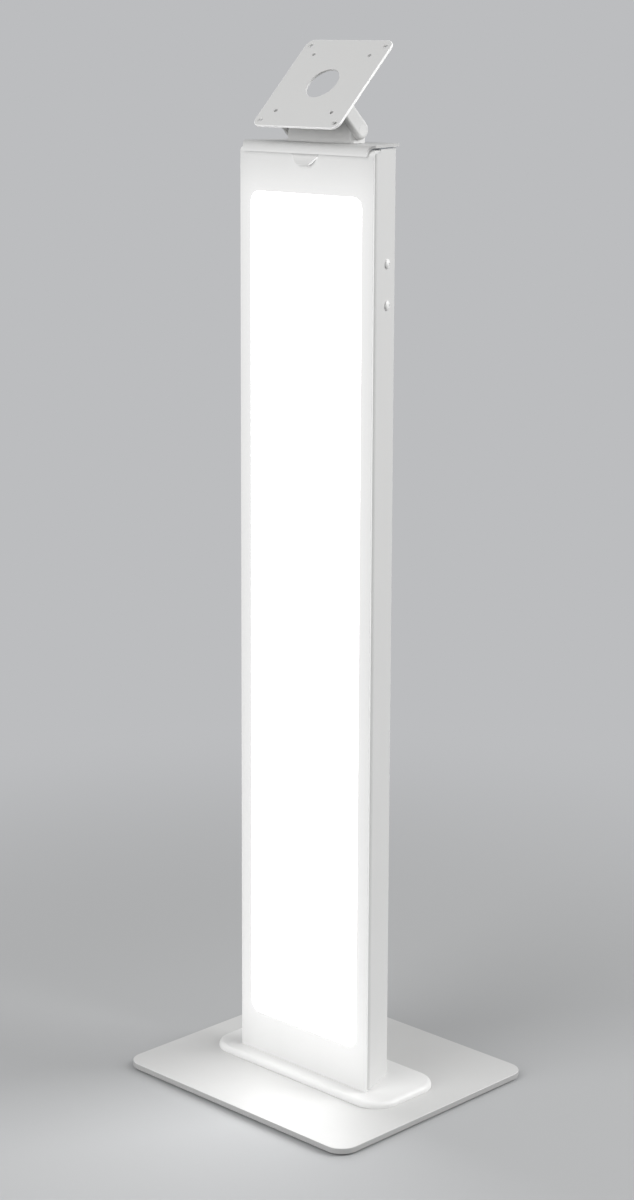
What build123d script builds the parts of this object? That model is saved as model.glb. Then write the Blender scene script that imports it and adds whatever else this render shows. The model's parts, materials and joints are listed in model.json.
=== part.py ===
from build123d import *
import math
import os

os.makedirs("parts", exist_ok=True)

# Floor stand: a lit column on a flat base, with a tilting plate for a screen on top.
# Millimetres, +Z up, the front faces -Y, the origin is on the floor under the base's middle.

# Clearances
rest_gap = 0.2
slide_gap = 0.3
lip_gap = 0.4
running_gap = 0.3
shaft_clearance = 0.05
thread_clearance = 0.02

# Base plate and its feet
base_width = 315
base_depth = 280
base_thickness = 6
base_corner_radius = 20
base_edge_radius = 0.8
foot_radius = 11
foot_height = 2
foot_inset = 26

# Foot plate under the column
plinth_width = 245
plinth_front = 52
plinth_rear = 47
plinth_thickness = 6.4
plinth_corner_radius = 28
plinth_edge_radius = 4.5
groove_depth = 2

# Column: its plan is wide in front and tapers to the rear
column_front_width = 180.4
column_rear_width = 142.8
column_front_y = -33.6
column_rear_y = 18.6
column_height = 948.6
column_sheet = 1.5
column_front_radius = 5.5
column_rear_radius = 2.5
column_step_radius = 1.5
flange_lap = 4.2

# Front panel with its window
panel_thickness = 3
panel_bend_radius = 3
panel_return_flat = 9
panel_lift = 2
panel_edge_radius = 0.5
window_side_margin = 15.2
window_top_margin = 39.1
window_bottom_margin = 43.1
window_corner_radius = 11
rebate_width = 3
rebate_depth = 1.5

# Pull tab on the panel
tab_top_width = 38.2
tab_bottom_width = 17
tab_height = 10.8
tab_thickness = 2
tab_reach = 4
tab_root = 1.2
tab_pocket_height = 5
tab_corner_radius = 4

# Cap
cap_sheet = 2.5
cap_gap = 1.5
cap_bend_radius = 5
cap_lip_length = 10.3
cap_rear_y = 21
cap_rear_width = 149.4
cap_bend_width = 177
cap_lip_width = 167
cap_corner_radius = 3
cap_lip_corner_radius = 0.8

# Tilt joint and its bracket
pivot_y = -5.3
pivot_height = 12.7
rest_tilt = 45
bracket_width = 88
bracket_sheet = 3
bracket_front_y = -14.5
bracket_rear_y = 7
web_height = 21
ear_radius = 9.2
pivot_radius = 3
pivot_head_radius = 5.6
pivot_head_height = 2
pivot_nut_across = 10
pivot_nut_height = 5
pivot_tail = 1.5
washer_radius = 7.5
washer_thickness = 1
spring_radius = 6.2
spring_sheet = 0.7
spring_cone = 0.5
plug_thickness = 1.2

# Yoke
arm_thickness = 5.7
arm_radius = 9.3
arm_length = 31.8
arm_edge_radius = 4
bridge_thickness = 3
bridge_low = -5.7
bridge_high = 7.8
stud_radius = 2
stud_spacing = 52
stud_nut_across = 7
stud_nut_height = 3.2

# Screen plate: hole squares of 100 and 75 with a cable hole in the middle
plate_size = 115
plate_thickness = 2.5
plate_corner_radius = 9
plate_edge_radius = 0.4
plate_rise = 27.8
outer_hole_spacing = 100
outer_hole_radius = 2.25
outer_sink_radius = 3.25
inner_hole_spacing = 75
inner_hole_radius = 2
plate_cable_radius = 18.5

# Screws
screw_radius = 2.5
screw_head_radius = 4.75
screw_head_height = 2.75
screw_shoulder_radius = 4.2
screw_shoulder_height = 1.6
screw_crown_radius = 2.4
screw_tail = 1
screw_socket_across = 3
screw_socket_depth = 1.6
screw_nut_across = 8
screw_nut_height = 4
side_screw_along = 34.5
side_screw_drop = 110
side_screw_spacing = 40
bracket_screw_x = (16, 28)
foot_screw_radius = 3
foot_screw_spacing_x = 110
foot_screw_spacing_y = 22
foot_screw_y = -5
foot_sink_radius = 6
foot_nut_across = 10
foot_nut_height = 5

# Head carrier and foot bracket inside the column
carrier_sheet = 3
carrier_front_y = -22
carrier_rear_y = 14
leg_front_y = -16
leg_rear_y = 12
leg_length = 172
foot_bracket_height = 30

# Grommets
cap_grommet_radius = 7
cap_grommet_bore = 5.5
rear_grommet_radius = 10
rear_grommet_bore = 7
rear_grommet_rise = 28
grommet_flange = 2
grommet_flange_thickness = 1.2
grommet_chamfer = 0.6

# Light inside the column
tray_sheet = 1.2
tray_lip_width = 3
tray_nut_gap = 1
tray_floor_y = 0
tray_overlap = 8
strip_count = 4
strip_width = 8
strip_thickness = 1.2
chip_size = 5
chip_thickness = 1.4
chip_pitch = 60
strip_end_gap = 15
driver_width = 42
driver_depth = 13
driver_length = 150
driver_rise = 110
driver_ear = 10
driver_ear_thickness = 2
driver_screw_radius = 1.5
driver_screw_head_radius = 2.8
driver_screw_head_height = 1.8

# Heights worked out from the sizes above
base_top = foot_height + base_thickness
plinth_top = base_top + plinth_thickness
wall_top = plinth_top + column_height
cap_underside = wall_top + cap_gap
cap_top = cap_underside + cap_sheet
lip_bottom = cap_top - cap_lip_length
panel_bottom = plinth_top - groove_depth + rest_gap
panel_top = cap_underside - panel_lift - running_gap
window_bottom = plinth_top + window_bottom_margin
window_top = lip_bottom - window_top_margin
carrier_top = cap_underside
pivot_z = cap_top + pivot_height

# Plan lines of the column
side_taper = (column_front_width - column_rear_width) / 2 / (column_rear_y - column_front_y)
side_angle = math.atan(side_taper)
panel_back_y = column_front_y + panel_thickness
panel_bend_y = panel_back_y + panel_bend_radius
panel_bend_z = panel_top - panel_thickness - panel_bend_radius
panel_rear_y = panel_bend_y + panel_return_flat
body_front_y = panel_back_y + slide_gap
body_step_y = panel_rear_y + slide_gap
body_step_z = panel_top - panel_thickness - slide_gap
lip_front_y = column_front_y - lip_gap - cap_sheet
window_width = column_front_width - 2 * window_side_margin
window_height = window_top - window_bottom
window_middle = (window_top + window_bottom) / 2


def half_width(y):
    """Half the column's outer width at depth y."""
    return column_front_width / 2 - (y - column_front_y) * side_taper


def column_plan(inset, front_y, rear_y):
    """Corners of the column's plan between two depths, with its sides moved inwards."""
    slant_inset = inset / math.cos(side_angle)
    front = half_width(front_y) - slant_inset
    rear = half_width(rear_y) - slant_inset
    return [(-front, front_y), (front, front_y), (rear, rear_y), (-rear, rear_y)]


def side_wall_plane(side, height):
    """Plane on a side wall's outer face at the side screws, its z pointing out of the wall."""
    x = column_front_width / 2 - side_screw_along * math.sin(side_angle)
    y = column_front_y + side_screw_along * math.cos(side_angle)
    normal = (side * math.cos(side_angle), math.sin(side_angle), 0)
    return Plane(origin=(side * x, y, height), x_dir=(0, 0, 1), z_dir=normal)


def button_screw(length):
    """Button head screw with its head's seat at the origin and its shank along -Z."""
    with BuildPart() as screw:
        with BuildSketch(Plane.XZ):
            with BuildLine():
                Line((0, -length), (screw_radius, -length))
                Line((screw_radius, -length), (screw_radius, 0))
                Line((screw_radius, 0), (screw_head_radius, 0))
                Line((screw_head_radius, 0), (screw_shoulder_radius, screw_shoulder_height))
                Line((screw_shoulder_radius, screw_shoulder_height), (screw_crown_radius, screw_head_height))
                Line((screw_crown_radius, screw_head_height), (0, screw_head_height))
                Line((0, screw_head_height), (0, -length))
            make_face()
        revolve(axis=Axis.Z)
        with BuildSketch(Plane.XY.offset(screw_head_height)):
            RegularPolygon(screw_socket_across / 2, 6, major_radius=False)
        extrude(amount=-screw_socket_depth, mode=Mode.SUBTRACT)
    return screw.part


def hex_nut(across, height, bore_radius):
    """Hexagon nut that sits under the origin."""
    with BuildPart() as nut:
        with BuildSketch():
            RegularPolygon(across / 2, 6, major_radius=False)
            Circle(bore_radius, mode=Mode.SUBTRACT)
        extrude(amount=-height)
    return nut.part


def grommet(radius, bore, grip):
    """Rubber grommet round a hole, its outer flange on the origin's plane, its grip along -Z."""
    with BuildPart() as ring:
        with BuildSketch():
            Circle(radius + grommet_flange)
        extrude(amount=grommet_flange_thickness)
        with BuildSketch():
            Circle(radius)
        extrude(amount=-grip)
        with BuildSketch(Plane.XY.offset(-grip)):
            Circle(radius + grommet_flange)
        extrude(amount=-grommet_flange_thickness)
        Hole(bore)
        chamfer(ring.edges().group_by(Axis.Z)[-1].sort_by(SortBy.RADIUS)[-1], grommet_chamfer)
    return ring.part


# Flat part of the column's front flanges, inside the rounded front edges
flange_back_y = body_front_y + column_sheet
flange_corner = (column_front_radius - column_sheet) / math.tan(math.pi / 4 - side_angle / 2)
flange_flat_half = half_width(flange_back_y) - column_sheet / math.cos(side_angle) - flange_corner
flange_inner_half = flange_flat_half - flange_lap

# Places of the repeated screws
side_screw_heights = (wall_top - side_screw_drop, wall_top - side_screw_drop - side_screw_spacing)
side_screw_planes = [side_wall_plane(side, z) for side in (-1, 1) for z in side_screw_heights]
bracket_screw_y = (bracket_front_y + bracket_sheet + bracket_rear_y) / 2
bracket_screw_points = [(side * x, bracket_screw_y) for side in (-1, 1) for x in bracket_screw_x]
foot_screw_points = [
    (side_x * foot_screw_spacing_x / 2, foot_screw_y + side_y * foot_screw_spacing_y / 2)
    for side_x in (-1, 1)
    for side_y in (-1, 1)
]

# Base plate: flat steel plate with countersunk holes on its underside
with BuildPart() as base_plate:
    with BuildSketch(Plane.XY.offset(foot_height)):
        RectangleRounded(base_width, base_depth, base_corner_radius)
    extrude(amount=base_thickness)
    fillet(base_plate.faces().sort_by(Axis.Z)[-1].edges(), base_edge_radius)
    with Locations(Plane.XY.offset(foot_height).rotated((180, 0, 0))):
        with Locations(*[(x, -y) for x, y in foot_screw_points]):
            CounterSinkHole(foot_screw_radius, foot_sink_radius, base_thickness)
base_plate.part.label = "base_plate"
export_step(base_plate.part, "parts/base_plate.step")

# Rubber feet: thin pads near the corners
with BuildPart() as rubber_feet:
    with BuildSketch():
        with GridLocations(base_width - 2 * foot_inset, base_depth - 2 * foot_inset, 2, 2):
            Circle(foot_radius)
    extrude(amount=foot_height)
rubber_feet.part.label = "rubber_feet"
export_step(rubber_feet.part, "parts/rubber_feet.step")

# Foot plate: rounded upper edge and a groove that holds the panel's lower edge
with BuildPart() as foot_plate:
    with BuildSketch(Plane.XY.offset(base_top)):
        with Locations((0, (plinth_rear - plinth_front) / 2)):
            RectangleRounded(plinth_width, plinth_front + plinth_rear, plinth_corner_radius)
    extrude(amount=plinth_thickness)
    fillet(foot_plate.faces().sort_by(Axis.Z)[-1].edges(), plinth_edge_radius)
    with BuildSketch(Plane.XY.offset(plinth_top)):
        with Locations((0, column_front_y + panel_thickness / 2)):
            Rectangle(column_front_width + 2 * slide_gap, panel_thickness + 2 * slide_gap)
    extrude(amount=-groove_depth, mode=Mode.SUBTRACT)
    with Locations(Plane.XY.offset(plinth_top)):
        with Locations(*foot_screw_points):
            Hole(foot_screw_radius, plinth_thickness)
foot_plate.part.label = "foot_plate"
export_step(foot_plate.part, "parts/foot_plate.step")

# Foot bracket: folded plate inside the column, its upstands welded to the side walls
with BuildPart() as foot_bracket:
    with BuildSketch(Plane.XY.offset(plinth_top)):
        Polygon(*column_plan(column_sheet, carrier_front_y, carrier_rear_y), align=None)
    extrude(amount=carrier_sheet)
    with BuildSketch(Plane.XY.offset(plinth_top)):
        Polygon(*column_plan(column_sheet, leg_front_y, leg_rear_y), align=None)
        Polygon(
            *column_plan(column_sheet + carrier_sheet, leg_front_y, leg_rear_y),
            align=None,
            mode=Mode.SUBTRACT,
        )
    extrude(amount=foot_bracket_height)
    with Locations(Plane.XY.offset(plinth_top + carrier_sheet)):
        with Locations(*foot_screw_points):
            Hole(foot_screw_radius, carrier_sheet)
foot_bracket.part.label = "foot_bracket"
export_step(foot_bracket.part, "parts/foot_bracket.step")

# Foot screws: countersunk from below through base plate, foot plate and bracket
foot_screw_top = plinth_top + carrier_sheet + foot_nut_height + foot_screw_radius / 2
with BuildPart() as foot_screws:
    with BuildSketch(Plane.XZ) as foot_screw_profile:
        Polygon(
            (0, foot_height),
            (foot_sink_radius - thread_clearance, foot_height),
            (foot_screw_radius - thread_clearance, foot_height + foot_sink_radius - foot_screw_radius),
            (foot_screw_radius - thread_clearance, foot_screw_top),
            (0, foot_screw_top),
            align=None,
        )
    foot_screw = revolve(axis=Axis.Z, mode=Mode.PRIVATE)
    with Locations(*foot_screw_points):
        add(foot_screw)
foot_screws.part.label = "foot_screws"
export_step(foot_screws.part, "parts/foot_screws.step")

# Foot nuts on the foot bracket
foot_nut = hex_nut(foot_nut_across, foot_nut_height, foot_screw_radius)
with BuildPart() as foot_nuts:
    with Locations(Plane.XY.offset(plinth_top + carrier_sheet + foot_nut_height)):
        with Locations(*foot_screw_points):
            add(foot_nut)
foot_nuts.part.label = "foot_nuts"
export_step(foot_nuts.part, "parts/foot_nuts.step")

# Column body: one folded sheet, open in front between two narrow flanges
with BuildPart() as column_body:
    with BuildSketch(Plane.XY.offset(plinth_top)) as column_section:
        Polygon(*column_plan(0, body_front_y, column_rear_y), align=None)
        fillet(column_section.vertices().group_by(Axis.Y)[0], column_front_radius)
        fillet(column_section.vertices().group_by(Axis.Y)[-1], column_rear_radius)
        offset(amount=-column_sheet, mode=Mode.SUBTRACT)
        with Locations((0, body_front_y)):
            Rectangle(2 * flange_inner_half, 4 * column_sheet, mode=Mode.SUBTRACT)
    extrude(amount=column_height)
    with BuildSketch(Plane.YZ) as wall_profile:
        with Locations(((body_front_y + column_rear_y) / 2, (plinth_top + wall_top) / 2)):
            Rectangle(column_rear_y - body_front_y, column_height)
        with Locations((body_front_y, wall_top)):
            Rectangle(
                2 * (body_step_y - body_front_y), 2 * (wall_top - body_step_z), mode=Mode.SUBTRACT
            )
        shoulder_corner = wall_profile.vertices().group_by(Axis.X)[0].sort_by(Axis.Y)[-1]
        fillet(shoulder_corner, panel_bend_radius - slide_gap)
        step_corner = wall_profile.vertices().group_by(Axis.Y)[-1].sort_by(Axis.X)[0]
        fillet(step_corner, column_step_radius)
    extrude(amount=column_front_width, both=True, mode=Mode.INTERSECT)
    with Locations(*side_screw_planes):
        Hole(screw_radius, 3 * column_sheet)
    rear_hole_plane = Plane(
        origin=(0, column_rear_y, plinth_top + rear_grommet_rise), x_dir=(1, 0, 0), z_dir=(0, 1, 0)
    )
    with Locations(rear_hole_plane):
        Hole(rear_grommet_radius, 3 * column_sheet)
column_body.part.label = "column_body"
export_step(column_body.part, "parts/column_body.step")

# Rear grommet: where the leads leave the column
rear_grommet_ring = grommet(rear_grommet_radius, rear_grommet_bore, column_sheet)
with BuildPart() as rear_grommet:
    with Locations(rear_hole_plane):
        add(rear_grommet_ring)
rear_grommet.part.label = "rear_grommet"
export_step(rear_grommet.part, "parts/rear_grommet.step")

# Front panel: its top bends back over the column, its window is rebated behind for the diffuser
with BuildPart() as front_panel:
    with BuildSketch(Plane.YZ):
        with BuildLine():
            return_low = panel_top - panel_thickness
            panel_bend_outer = panel_bend_radius + panel_thickness
            Line((column_front_y, panel_bottom), (column_front_y, panel_bend_z))
            RadiusArc((column_front_y, panel_bend_z), (panel_bend_y, panel_top), panel_bend_outer)
            Line((panel_bend_y, panel_top), (panel_rear_y, panel_top))
            Line((panel_rear_y, panel_top), (panel_rear_y, return_low))
            Line((panel_rear_y, return_low), (panel_bend_y, return_low))
            RadiusArc((panel_bend_y, return_low), (panel_back_y, panel_bend_z), -panel_bend_radius)
            Line((panel_back_y, panel_bend_z), (panel_back_y, panel_bottom))
            Line((panel_back_y, panel_bottom), (column_front_y, panel_bottom))
        make_face()
    extrude(amount=column_front_width, both=True)
    with BuildSketch(Plane.XY.offset(panel_bottom)):
        Polygon(*column_plan(0, column_front_y, panel_rear_y), align=None)
    extrude(amount=panel_top - panel_bottom, mode=Mode.INTERSECT)
    front_face = front_panel.faces().sort_by(Axis.Y)[0]
    fillet(front_face.edges().filter_by(Axis.Z), panel_edge_radius)
    with BuildSketch(Plane.XZ.offset(-panel_back_y)):
        with Locations((0, window_middle)):
            RectangleRounded(window_width, window_height, window_corner_radius)
    extrude(amount=panel_thickness, mode=Mode.SUBTRACT)
    with BuildSketch(Plane.XZ.offset(-panel_back_y)):
        with Locations((0, window_middle)):
            RectangleRounded(
                window_width + 2 * rebate_width,
                window_height + 2 * rebate_width,
                window_corner_radius + rebate_width,
            )
    extrude(amount=rebate_depth, mode=Mode.SUBTRACT)
    tab_top = lip_bottom + tab_root
    tab_flank = (tab_top_width - tab_bottom_width) / 2 / tab_height
    with BuildSketch(Plane.XZ.offset(-column_front_y)):
        pocket_low = lip_bottom - tab_pocket_height
        pocket_top_half = tab_top_width / 2 + tab_root * tab_flank
        pocket_low_half = tab_top_width / 2 - tab_pocket_height * tab_flank
        Polygon(
            (-pocket_top_half, tab_top),
            (pocket_top_half, tab_top),
            (pocket_low_half, pocket_low),
            (-pocket_low_half, pocket_low),
            align=None,
        )
    extrude(amount=-tab_thickness, mode=Mode.SUBTRACT)
front_panel.part.label = "front_panel"
export_step(front_panel.part, "parts/front_panel.step")

# Light diffuser: stepped opal sheet, flush with the panel's face
with BuildPart() as light_diffuser:
    with BuildSketch(Plane.XZ.offset(-panel_back_y)):
        with Locations((0, window_middle)):
            RectangleRounded(
                window_width + 2 * rebate_width,
                window_height + 2 * rebate_width,
                window_corner_radius + rebate_width,
            )
    extrude(amount=rebate_depth)
    with BuildSketch(Plane.XZ.offset(-panel_back_y)):
        with Locations((0, window_middle)):
            RectangleRounded(window_width, window_height, window_corner_radius)
    extrude(amount=panel_thickness)
light_diffuser.part.label = "light_diffuser"
export_step(light_diffuser.part, "parts/light_diffuser.step")

# Pull tab: let into the panel at its root, flaring forward below the lip's path
with BuildPart() as pull_tab:
    with BuildSketch(Plane.YZ):
        flare_top = lip_bottom - panel_lift - running_gap
        tab_low = lip_bottom - tab_height
        with BuildLine():
            flare = TangentArc(
                (column_front_y, flare_top), (column_front_y - tab_reach, tab_low), tangent=(-1, -1)
            )
            Line((column_front_y, flare_top), (column_front_y, tab_top))
            Line((column_front_y, tab_top), (column_front_y + tab_thickness, tab_top))
            Line((column_front_y + tab_thickness, tab_top), (column_front_y + tab_thickness, pocket_low))
            inner_low = flare @ 1 + (tab_thickness, 0)
            Line((column_front_y + tab_thickness, pocket_low), (column_front_y, pocket_low))
            Line((column_front_y, pocket_low), inner_low)
            Line(inner_low, flare @ 1)
        make_face()
    extrude(amount=tab_top_width, both=True)
    with BuildSketch(Plane.XZ.offset(-column_front_y)) as tab_outline:
        Polygon(
            (-pocket_top_half, tab_top),
            (pocket_top_half, tab_top),
            (tab_bottom_width / 2, tab_low),
            (-tab_bottom_width / 2, tab_low),
            align=None,
        )
        fillet(tab_outline.vertices().group_by(Axis.Y)[0], tab_corner_radius)
    extrude(amount=tab_top_width, both=True, mode=Mode.INTERSECT)
pull_tab.part.label = "pull_tab"
export_step(pull_tab.part, "parts/pull_tab.step")

# Cap: sheet over the column, bent down in front of the panel's top edge
with BuildPart() as top_cap:
    with BuildSketch(Plane.YZ):
        with BuildLine():
            bend_outer = cap_bend_radius + cap_sheet
            Line((cap_rear_y, cap_top), (lip_front_y + bend_outer, cap_top))
            RadiusArc(
                (lip_front_y + bend_outer, cap_top), (lip_front_y, cap_top - bend_outer), -bend_outer
            )
            Line((lip_front_y, cap_top - bend_outer), (lip_front_y, lip_bottom))
            lip_back_y = lip_front_y + cap_sheet
            Line((lip_front_y, lip_bottom), (lip_back_y, lip_bottom))
            Line((lip_back_y, lip_bottom), (lip_back_y, cap_top - bend_outer))
            RadiusArc(
                (lip_back_y, cap_top - bend_outer),
                (lip_front_y + bend_outer, cap_underside),
                cap_bend_radius,
            )
            Line((lip_front_y + bend_outer, cap_underside), (cap_rear_y, cap_underside))
            Line((cap_rear_y, cap_underside), (cap_rear_y, cap_top))
        make_face()
    extrude(amount=cap_bend_width, both=True)
    with BuildSketch(Plane.XY.offset(lip_bottom)) as cap_plan:
        Polygon(
            (-cap_lip_width / 2, lip_front_y),
            (cap_lip_width / 2, lip_front_y),
            (cap_bend_width / 2, lip_front_y + bend_outer),
            (cap_rear_width / 2, cap_rear_y),
            (-cap_rear_width / 2, cap_rear_y),
            (-cap_bend_width / 2, lip_front_y + bend_outer),
            align=None,
        )
        fillet(cap_plan.vertices().group_by(Axis.Y)[-1], cap_corner_radius)
    extrude(amount=cap_lip_length, mode=Mode.INTERSECT)
    lip_edges = top_cap.faces().sort_by(Axis.Z)[0].edges()
    fillet(lip_edges.filter_by(Axis.X, reverse=True), cap_lip_corner_radius)
    with Locations(Plane.XY.offset(cap_top)):
        with Locations(*bracket_screw_points):
            Hole(screw_radius, cap_sheet)
        with Locations((0, bracket_screw_y)):
            Hole(cap_grommet_radius, cap_sheet)
top_cap.part.label = "top_cap"
export_step(top_cap.part, "parts/top_cap.step")

# Head carrier: bridge under the cap with two legs down the side walls
with BuildPart() as head_carrier:
    with BuildSketch(Plane.XY.offset(carrier_top)):
        Polygon(*column_plan(column_sheet, leg_front_y, carrier_rear_y), align=None)
    extrude(amount=-carrier_sheet)
    with BuildSketch(Plane.XY.offset(carrier_top)):
        Polygon(*column_plan(column_sheet, leg_front_y, leg_rear_y), align=None)
        Polygon(
            *column_plan(column_sheet + carrier_sheet, leg_front_y, leg_rear_y),
            align=None,
            mode=Mode.SUBTRACT,
        )
    extrude(amount=-leg_length)
    with Locations(*side_screw_planes):
        Hole(screw_radius, 3 * carrier_sheet)
    with Locations(Plane.XY.offset(carrier_top)):
        with Locations(*bracket_screw_points):
            Hole(screw_radius, carrier_sheet)
        with Locations((0, bracket_screw_y)):
            Hole(cap_grommet_radius, carrier_sheet)
head_carrier.part.label = "head_carrier"
export_step(head_carrier.part, "parts/head_carrier.step")

# Side screws: two button heads on each side wall hold the head carrier
side_grip = column_sheet + carrier_sheet
side_screw = button_screw(side_grip + screw_nut_height + screw_tail)
with BuildPart() as side_screws:
    with Locations(*side_screw_planes):
        add(side_screw)
side_screws.part.label = "side_screws"
export_step(side_screws.part, "parts/side_screws.step")

# Side nuts inside the carrier's legs
screw_nut = hex_nut(screw_nut_across, screw_nut_height, screw_radius + thread_clearance)
with BuildPart() as side_nuts:
    with Locations(*[plane.offset(-side_grip) for plane in side_screw_planes]):
        add(screw_nut)
side_nuts.part.label = "side_nuts"
export_step(side_nuts.part, "parts/side_nuts.step")

# Tilt base: floor on the cap, front web and two ears that carry the pivot
with BuildPart() as tilt_base:
    bracket_depth = bracket_rear_y - bracket_front_y
    bracket_middle = (bracket_rear_y + bracket_front_y) / 2
    with BuildSketch(Plane.XY.offset(cap_top)):
        with Locations((0, bracket_middle)):
            Rectangle(bracket_width, bracket_depth)
    extrude(amount=bracket_sheet)
    with BuildSketch(Plane.XY.offset(cap_top)):
        with Locations((0, bracket_front_y + bracket_sheet / 2)):
            Rectangle(bracket_width, bracket_sheet)
    extrude(amount=web_height)
    with BuildSketch(Plane.YZ):
        with Locations((pivot_y, pivot_z)):
            Circle(ear_radius)
            Rectangle(2 * ear_radius, pivot_height, align=(Align.CENTER, Align.MAX))
    extrude(amount=bracket_width / 2, both=True)
    with BuildSketch(Plane.YZ):
        with Locations((bracket_front_y + bracket_sheet, cap_top + bracket_sheet)):
            Rectangle(2 * bracket_depth, 2 * bracket_depth, align=(Align.MIN, Align.MIN))
    extrude(amount=bracket_width / 2 - bracket_sheet, both=True, mode=Mode.SUBTRACT)
    with BuildSketch(Plane.YZ):
        with Locations((pivot_y, pivot_z)):
            Circle(pivot_radius + shaft_clearance)
    extrude(amount=bracket_width, both=True, mode=Mode.SUBTRACT)
    with Locations(Plane.XY.offset(cap_top + bracket_sheet)):
        with Locations(*bracket_screw_points):
            Hole(screw_radius, bracket_sheet)
        with Locations((0, bracket_screw_y)):
            Hole(cap_grommet_radius, bracket_sheet)
tilt_base.part.label = "tilt_base"
export_step(tilt_base.part, "parts/tilt_base.step")

# Bracket screws: through bracket floor, cap and head carrier
bracket_grip = bracket_sheet + cap_sheet + carrier_sheet
bracket_screw = button_screw(bracket_grip + screw_nut_height + screw_tail)
with BuildPart() as bracket_screws:
    with Locations(Plane.XY.offset(cap_top + bracket_sheet)):
        with Locations(*bracket_screw_points):
            add(bracket_screw)
bracket_screws.part.label = "bracket_screws"
export_step(bracket_screws.part, "parts/bracket_screws.step")

# Bracket nuts under the head carrier
with BuildPart() as bracket_nuts:
    with Locations(Plane.XY.offset(carrier_top - carrier_sheet)):
        with Locations(*bracket_screw_points):
            add(screw_nut)
bracket_nuts.part.label = "bracket_nuts"
export_step(bracket_nuts.part, "parts/bracket_nuts.step")

# Cap grommet: lines the cable hole through bracket floor, cap and carrier
cap_grommet_ring = grommet(cap_grommet_radius, cap_grommet_bore, bracket_grip)
with BuildPart() as cap_grommet:
    with Locations(Plane.XY.offset(cap_top + bracket_sheet)):
        with Locations((0, bracket_screw_y)):
            add(cap_grommet_ring)
cap_grommet.part.label = "cap_grommet"
export_step(cap_grommet.part, "parts/cap_grommet.step")

# Head plane: origin on the pivot axis, x along it, z out of the screen plate, y up its slope
tilt = math.radians(rest_tilt)
head_normal = (0, -math.sin(tilt), math.cos(tilt))
head_plane = Plane(origin=(0, pivot_y, pivot_z), x_dir=(1, 0, 0), z_dir=head_normal)
plate_plane = Plane(
    origin=head_plane.from_local_coords((0, plate_rise, arm_length + plate_thickness)),
    x_dir=(1, 0, 0),
    z_dir=head_normal,
)

# Screen plate: square with countersunk corner holes, small inner holes and a cable hole
with BuildPart() as screen_plate:
    with BuildSketch(plate_plane):
        RectangleRounded(plate_size, plate_size, plate_corner_radius)
    extrude(amount=-plate_thickness)
    fillet(screen_plate.edges().filter_by(GeomType.LINE, reverse=True), plate_edge_radius)
    with Locations(plate_plane):
        with GridLocations(outer_hole_spacing, outer_hole_spacing, 2, 2):
            CounterSinkHole(outer_hole_radius, outer_sink_radius, plate_thickness)
        with GridLocations(inner_hole_spacing, inner_hole_spacing, 2, 2):
            Hole(inner_hole_radius, plate_thickness)
        Hole(plate_cable_radius, plate_thickness)
screen_plate.part.label = "screen_plate"
export_step(screen_plate.part, "parts/screen_plate.step")

# Yoke: two arms with rounded outer edges, joined by a bridge on the plate's back
arm_inner_x = bracket_width / 2 + running_gap
arm_outer_x = arm_inner_x + arm_thickness
arm_plane = Plane(origin=(arm_inner_x, pivot_y, pivot_z), x_dir=head_normal, z_dir=(1, 0, 0))
with BuildPart() as tilt_yoke:
    with BuildSketch(arm_plane):
        Circle(arm_radius)
        Rectangle(arm_length, 2 * arm_radius, align=(Align.MIN, Align.CENTER))
    extrude(amount=arm_thickness)
    outer_edges = tilt_yoke.faces().sort_by(Axis.X)[-1].edges()
    fillet(outer_edges.sort_by(Axis(head_plane.origin, head_plane.z_dir))[:-1], arm_edge_radius)
    with Locations(arm_plane):
        Cylinder(
            washer_radius + running_gap,
            washer_thickness - running_gap,
            align=(Align.CENTER, Align.CENTER, Align.MIN),
            mode=Mode.SUBTRACT,
        )
    with Locations(arm_plane.offset(arm_thickness)):
        CounterBoreHole(
            pivot_radius + shaft_clearance,
            pivot_head_radius,
            pivot_head_height + plug_thickness,
            arm_thickness,
        )
    mirror(about=Plane.YZ)
    with BuildSketch(head_plane.offset(arm_length)):
        with Locations((0, (bridge_low + bridge_high) / 2)):
            Rectangle(2 * arm_inner_x, bridge_high - bridge_low)
    extrude(amount=-bridge_thickness)
    bridge_middle = (bridge_low + bridge_high) / 2
    with Locations(head_plane.offset(arm_length)):
        with Locations((-stud_spacing / 2, bridge_middle), (stud_spacing / 2, bridge_middle)):
            Hole(stud_radius, bridge_thickness)
tilt_yoke.part.label = "tilt_yoke"
export_step(tilt_yoke.part, "parts/tilt_yoke.step")

# Weld studs on the plate's back
stud_points = ((-stud_spacing / 2, bridge_middle), (stud_spacing / 2, bridge_middle))
with BuildPart() as plate_studs:
    with BuildSketch(head_plane.offset(arm_length)):
        with Locations(*stud_points):
            Circle(stud_radius)
    extrude(amount=-(bridge_thickness + stud_nut_height + stud_radius / 2))
plate_studs.part.label = "plate_studs"
export_step(plate_studs.part, "parts/plate_studs.step")

# Stud nuts behind the bridge
stud_nut = hex_nut(stud_nut_across, stud_nut_height, stud_radius + thread_clearance)
with BuildPart() as stud_nuts:
    with Locations(head_plane.offset(arm_length - bridge_thickness)):
        with Locations(*stud_points):
            add(stud_nut)
stud_nuts.part.label = "stud_nuts"
export_step(stud_nuts.part, "parts/stud_nuts.step")

# Pivot stack, from the outside in: plug, bolt head, arm, washer, ear, disc spring, nut
pivot_seat_x = arm_outer_x - plug_thickness - pivot_head_height
ear_inner_x = bracket_width / 2 - bracket_sheet
spring_height = spring_sheet + spring_cone
nut_outer_x = ear_inner_x - spring_height
pivot_planes = [
    Plane(origin=(side * pivot_seat_x, pivot_y, pivot_z), x_dir=(0, 1, 0), z_dir=(side, 0, 0))
    for side in (-1, 1)
]
pivot_length = pivot_seat_x - nut_outer_x + pivot_nut_height + pivot_tail

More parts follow.
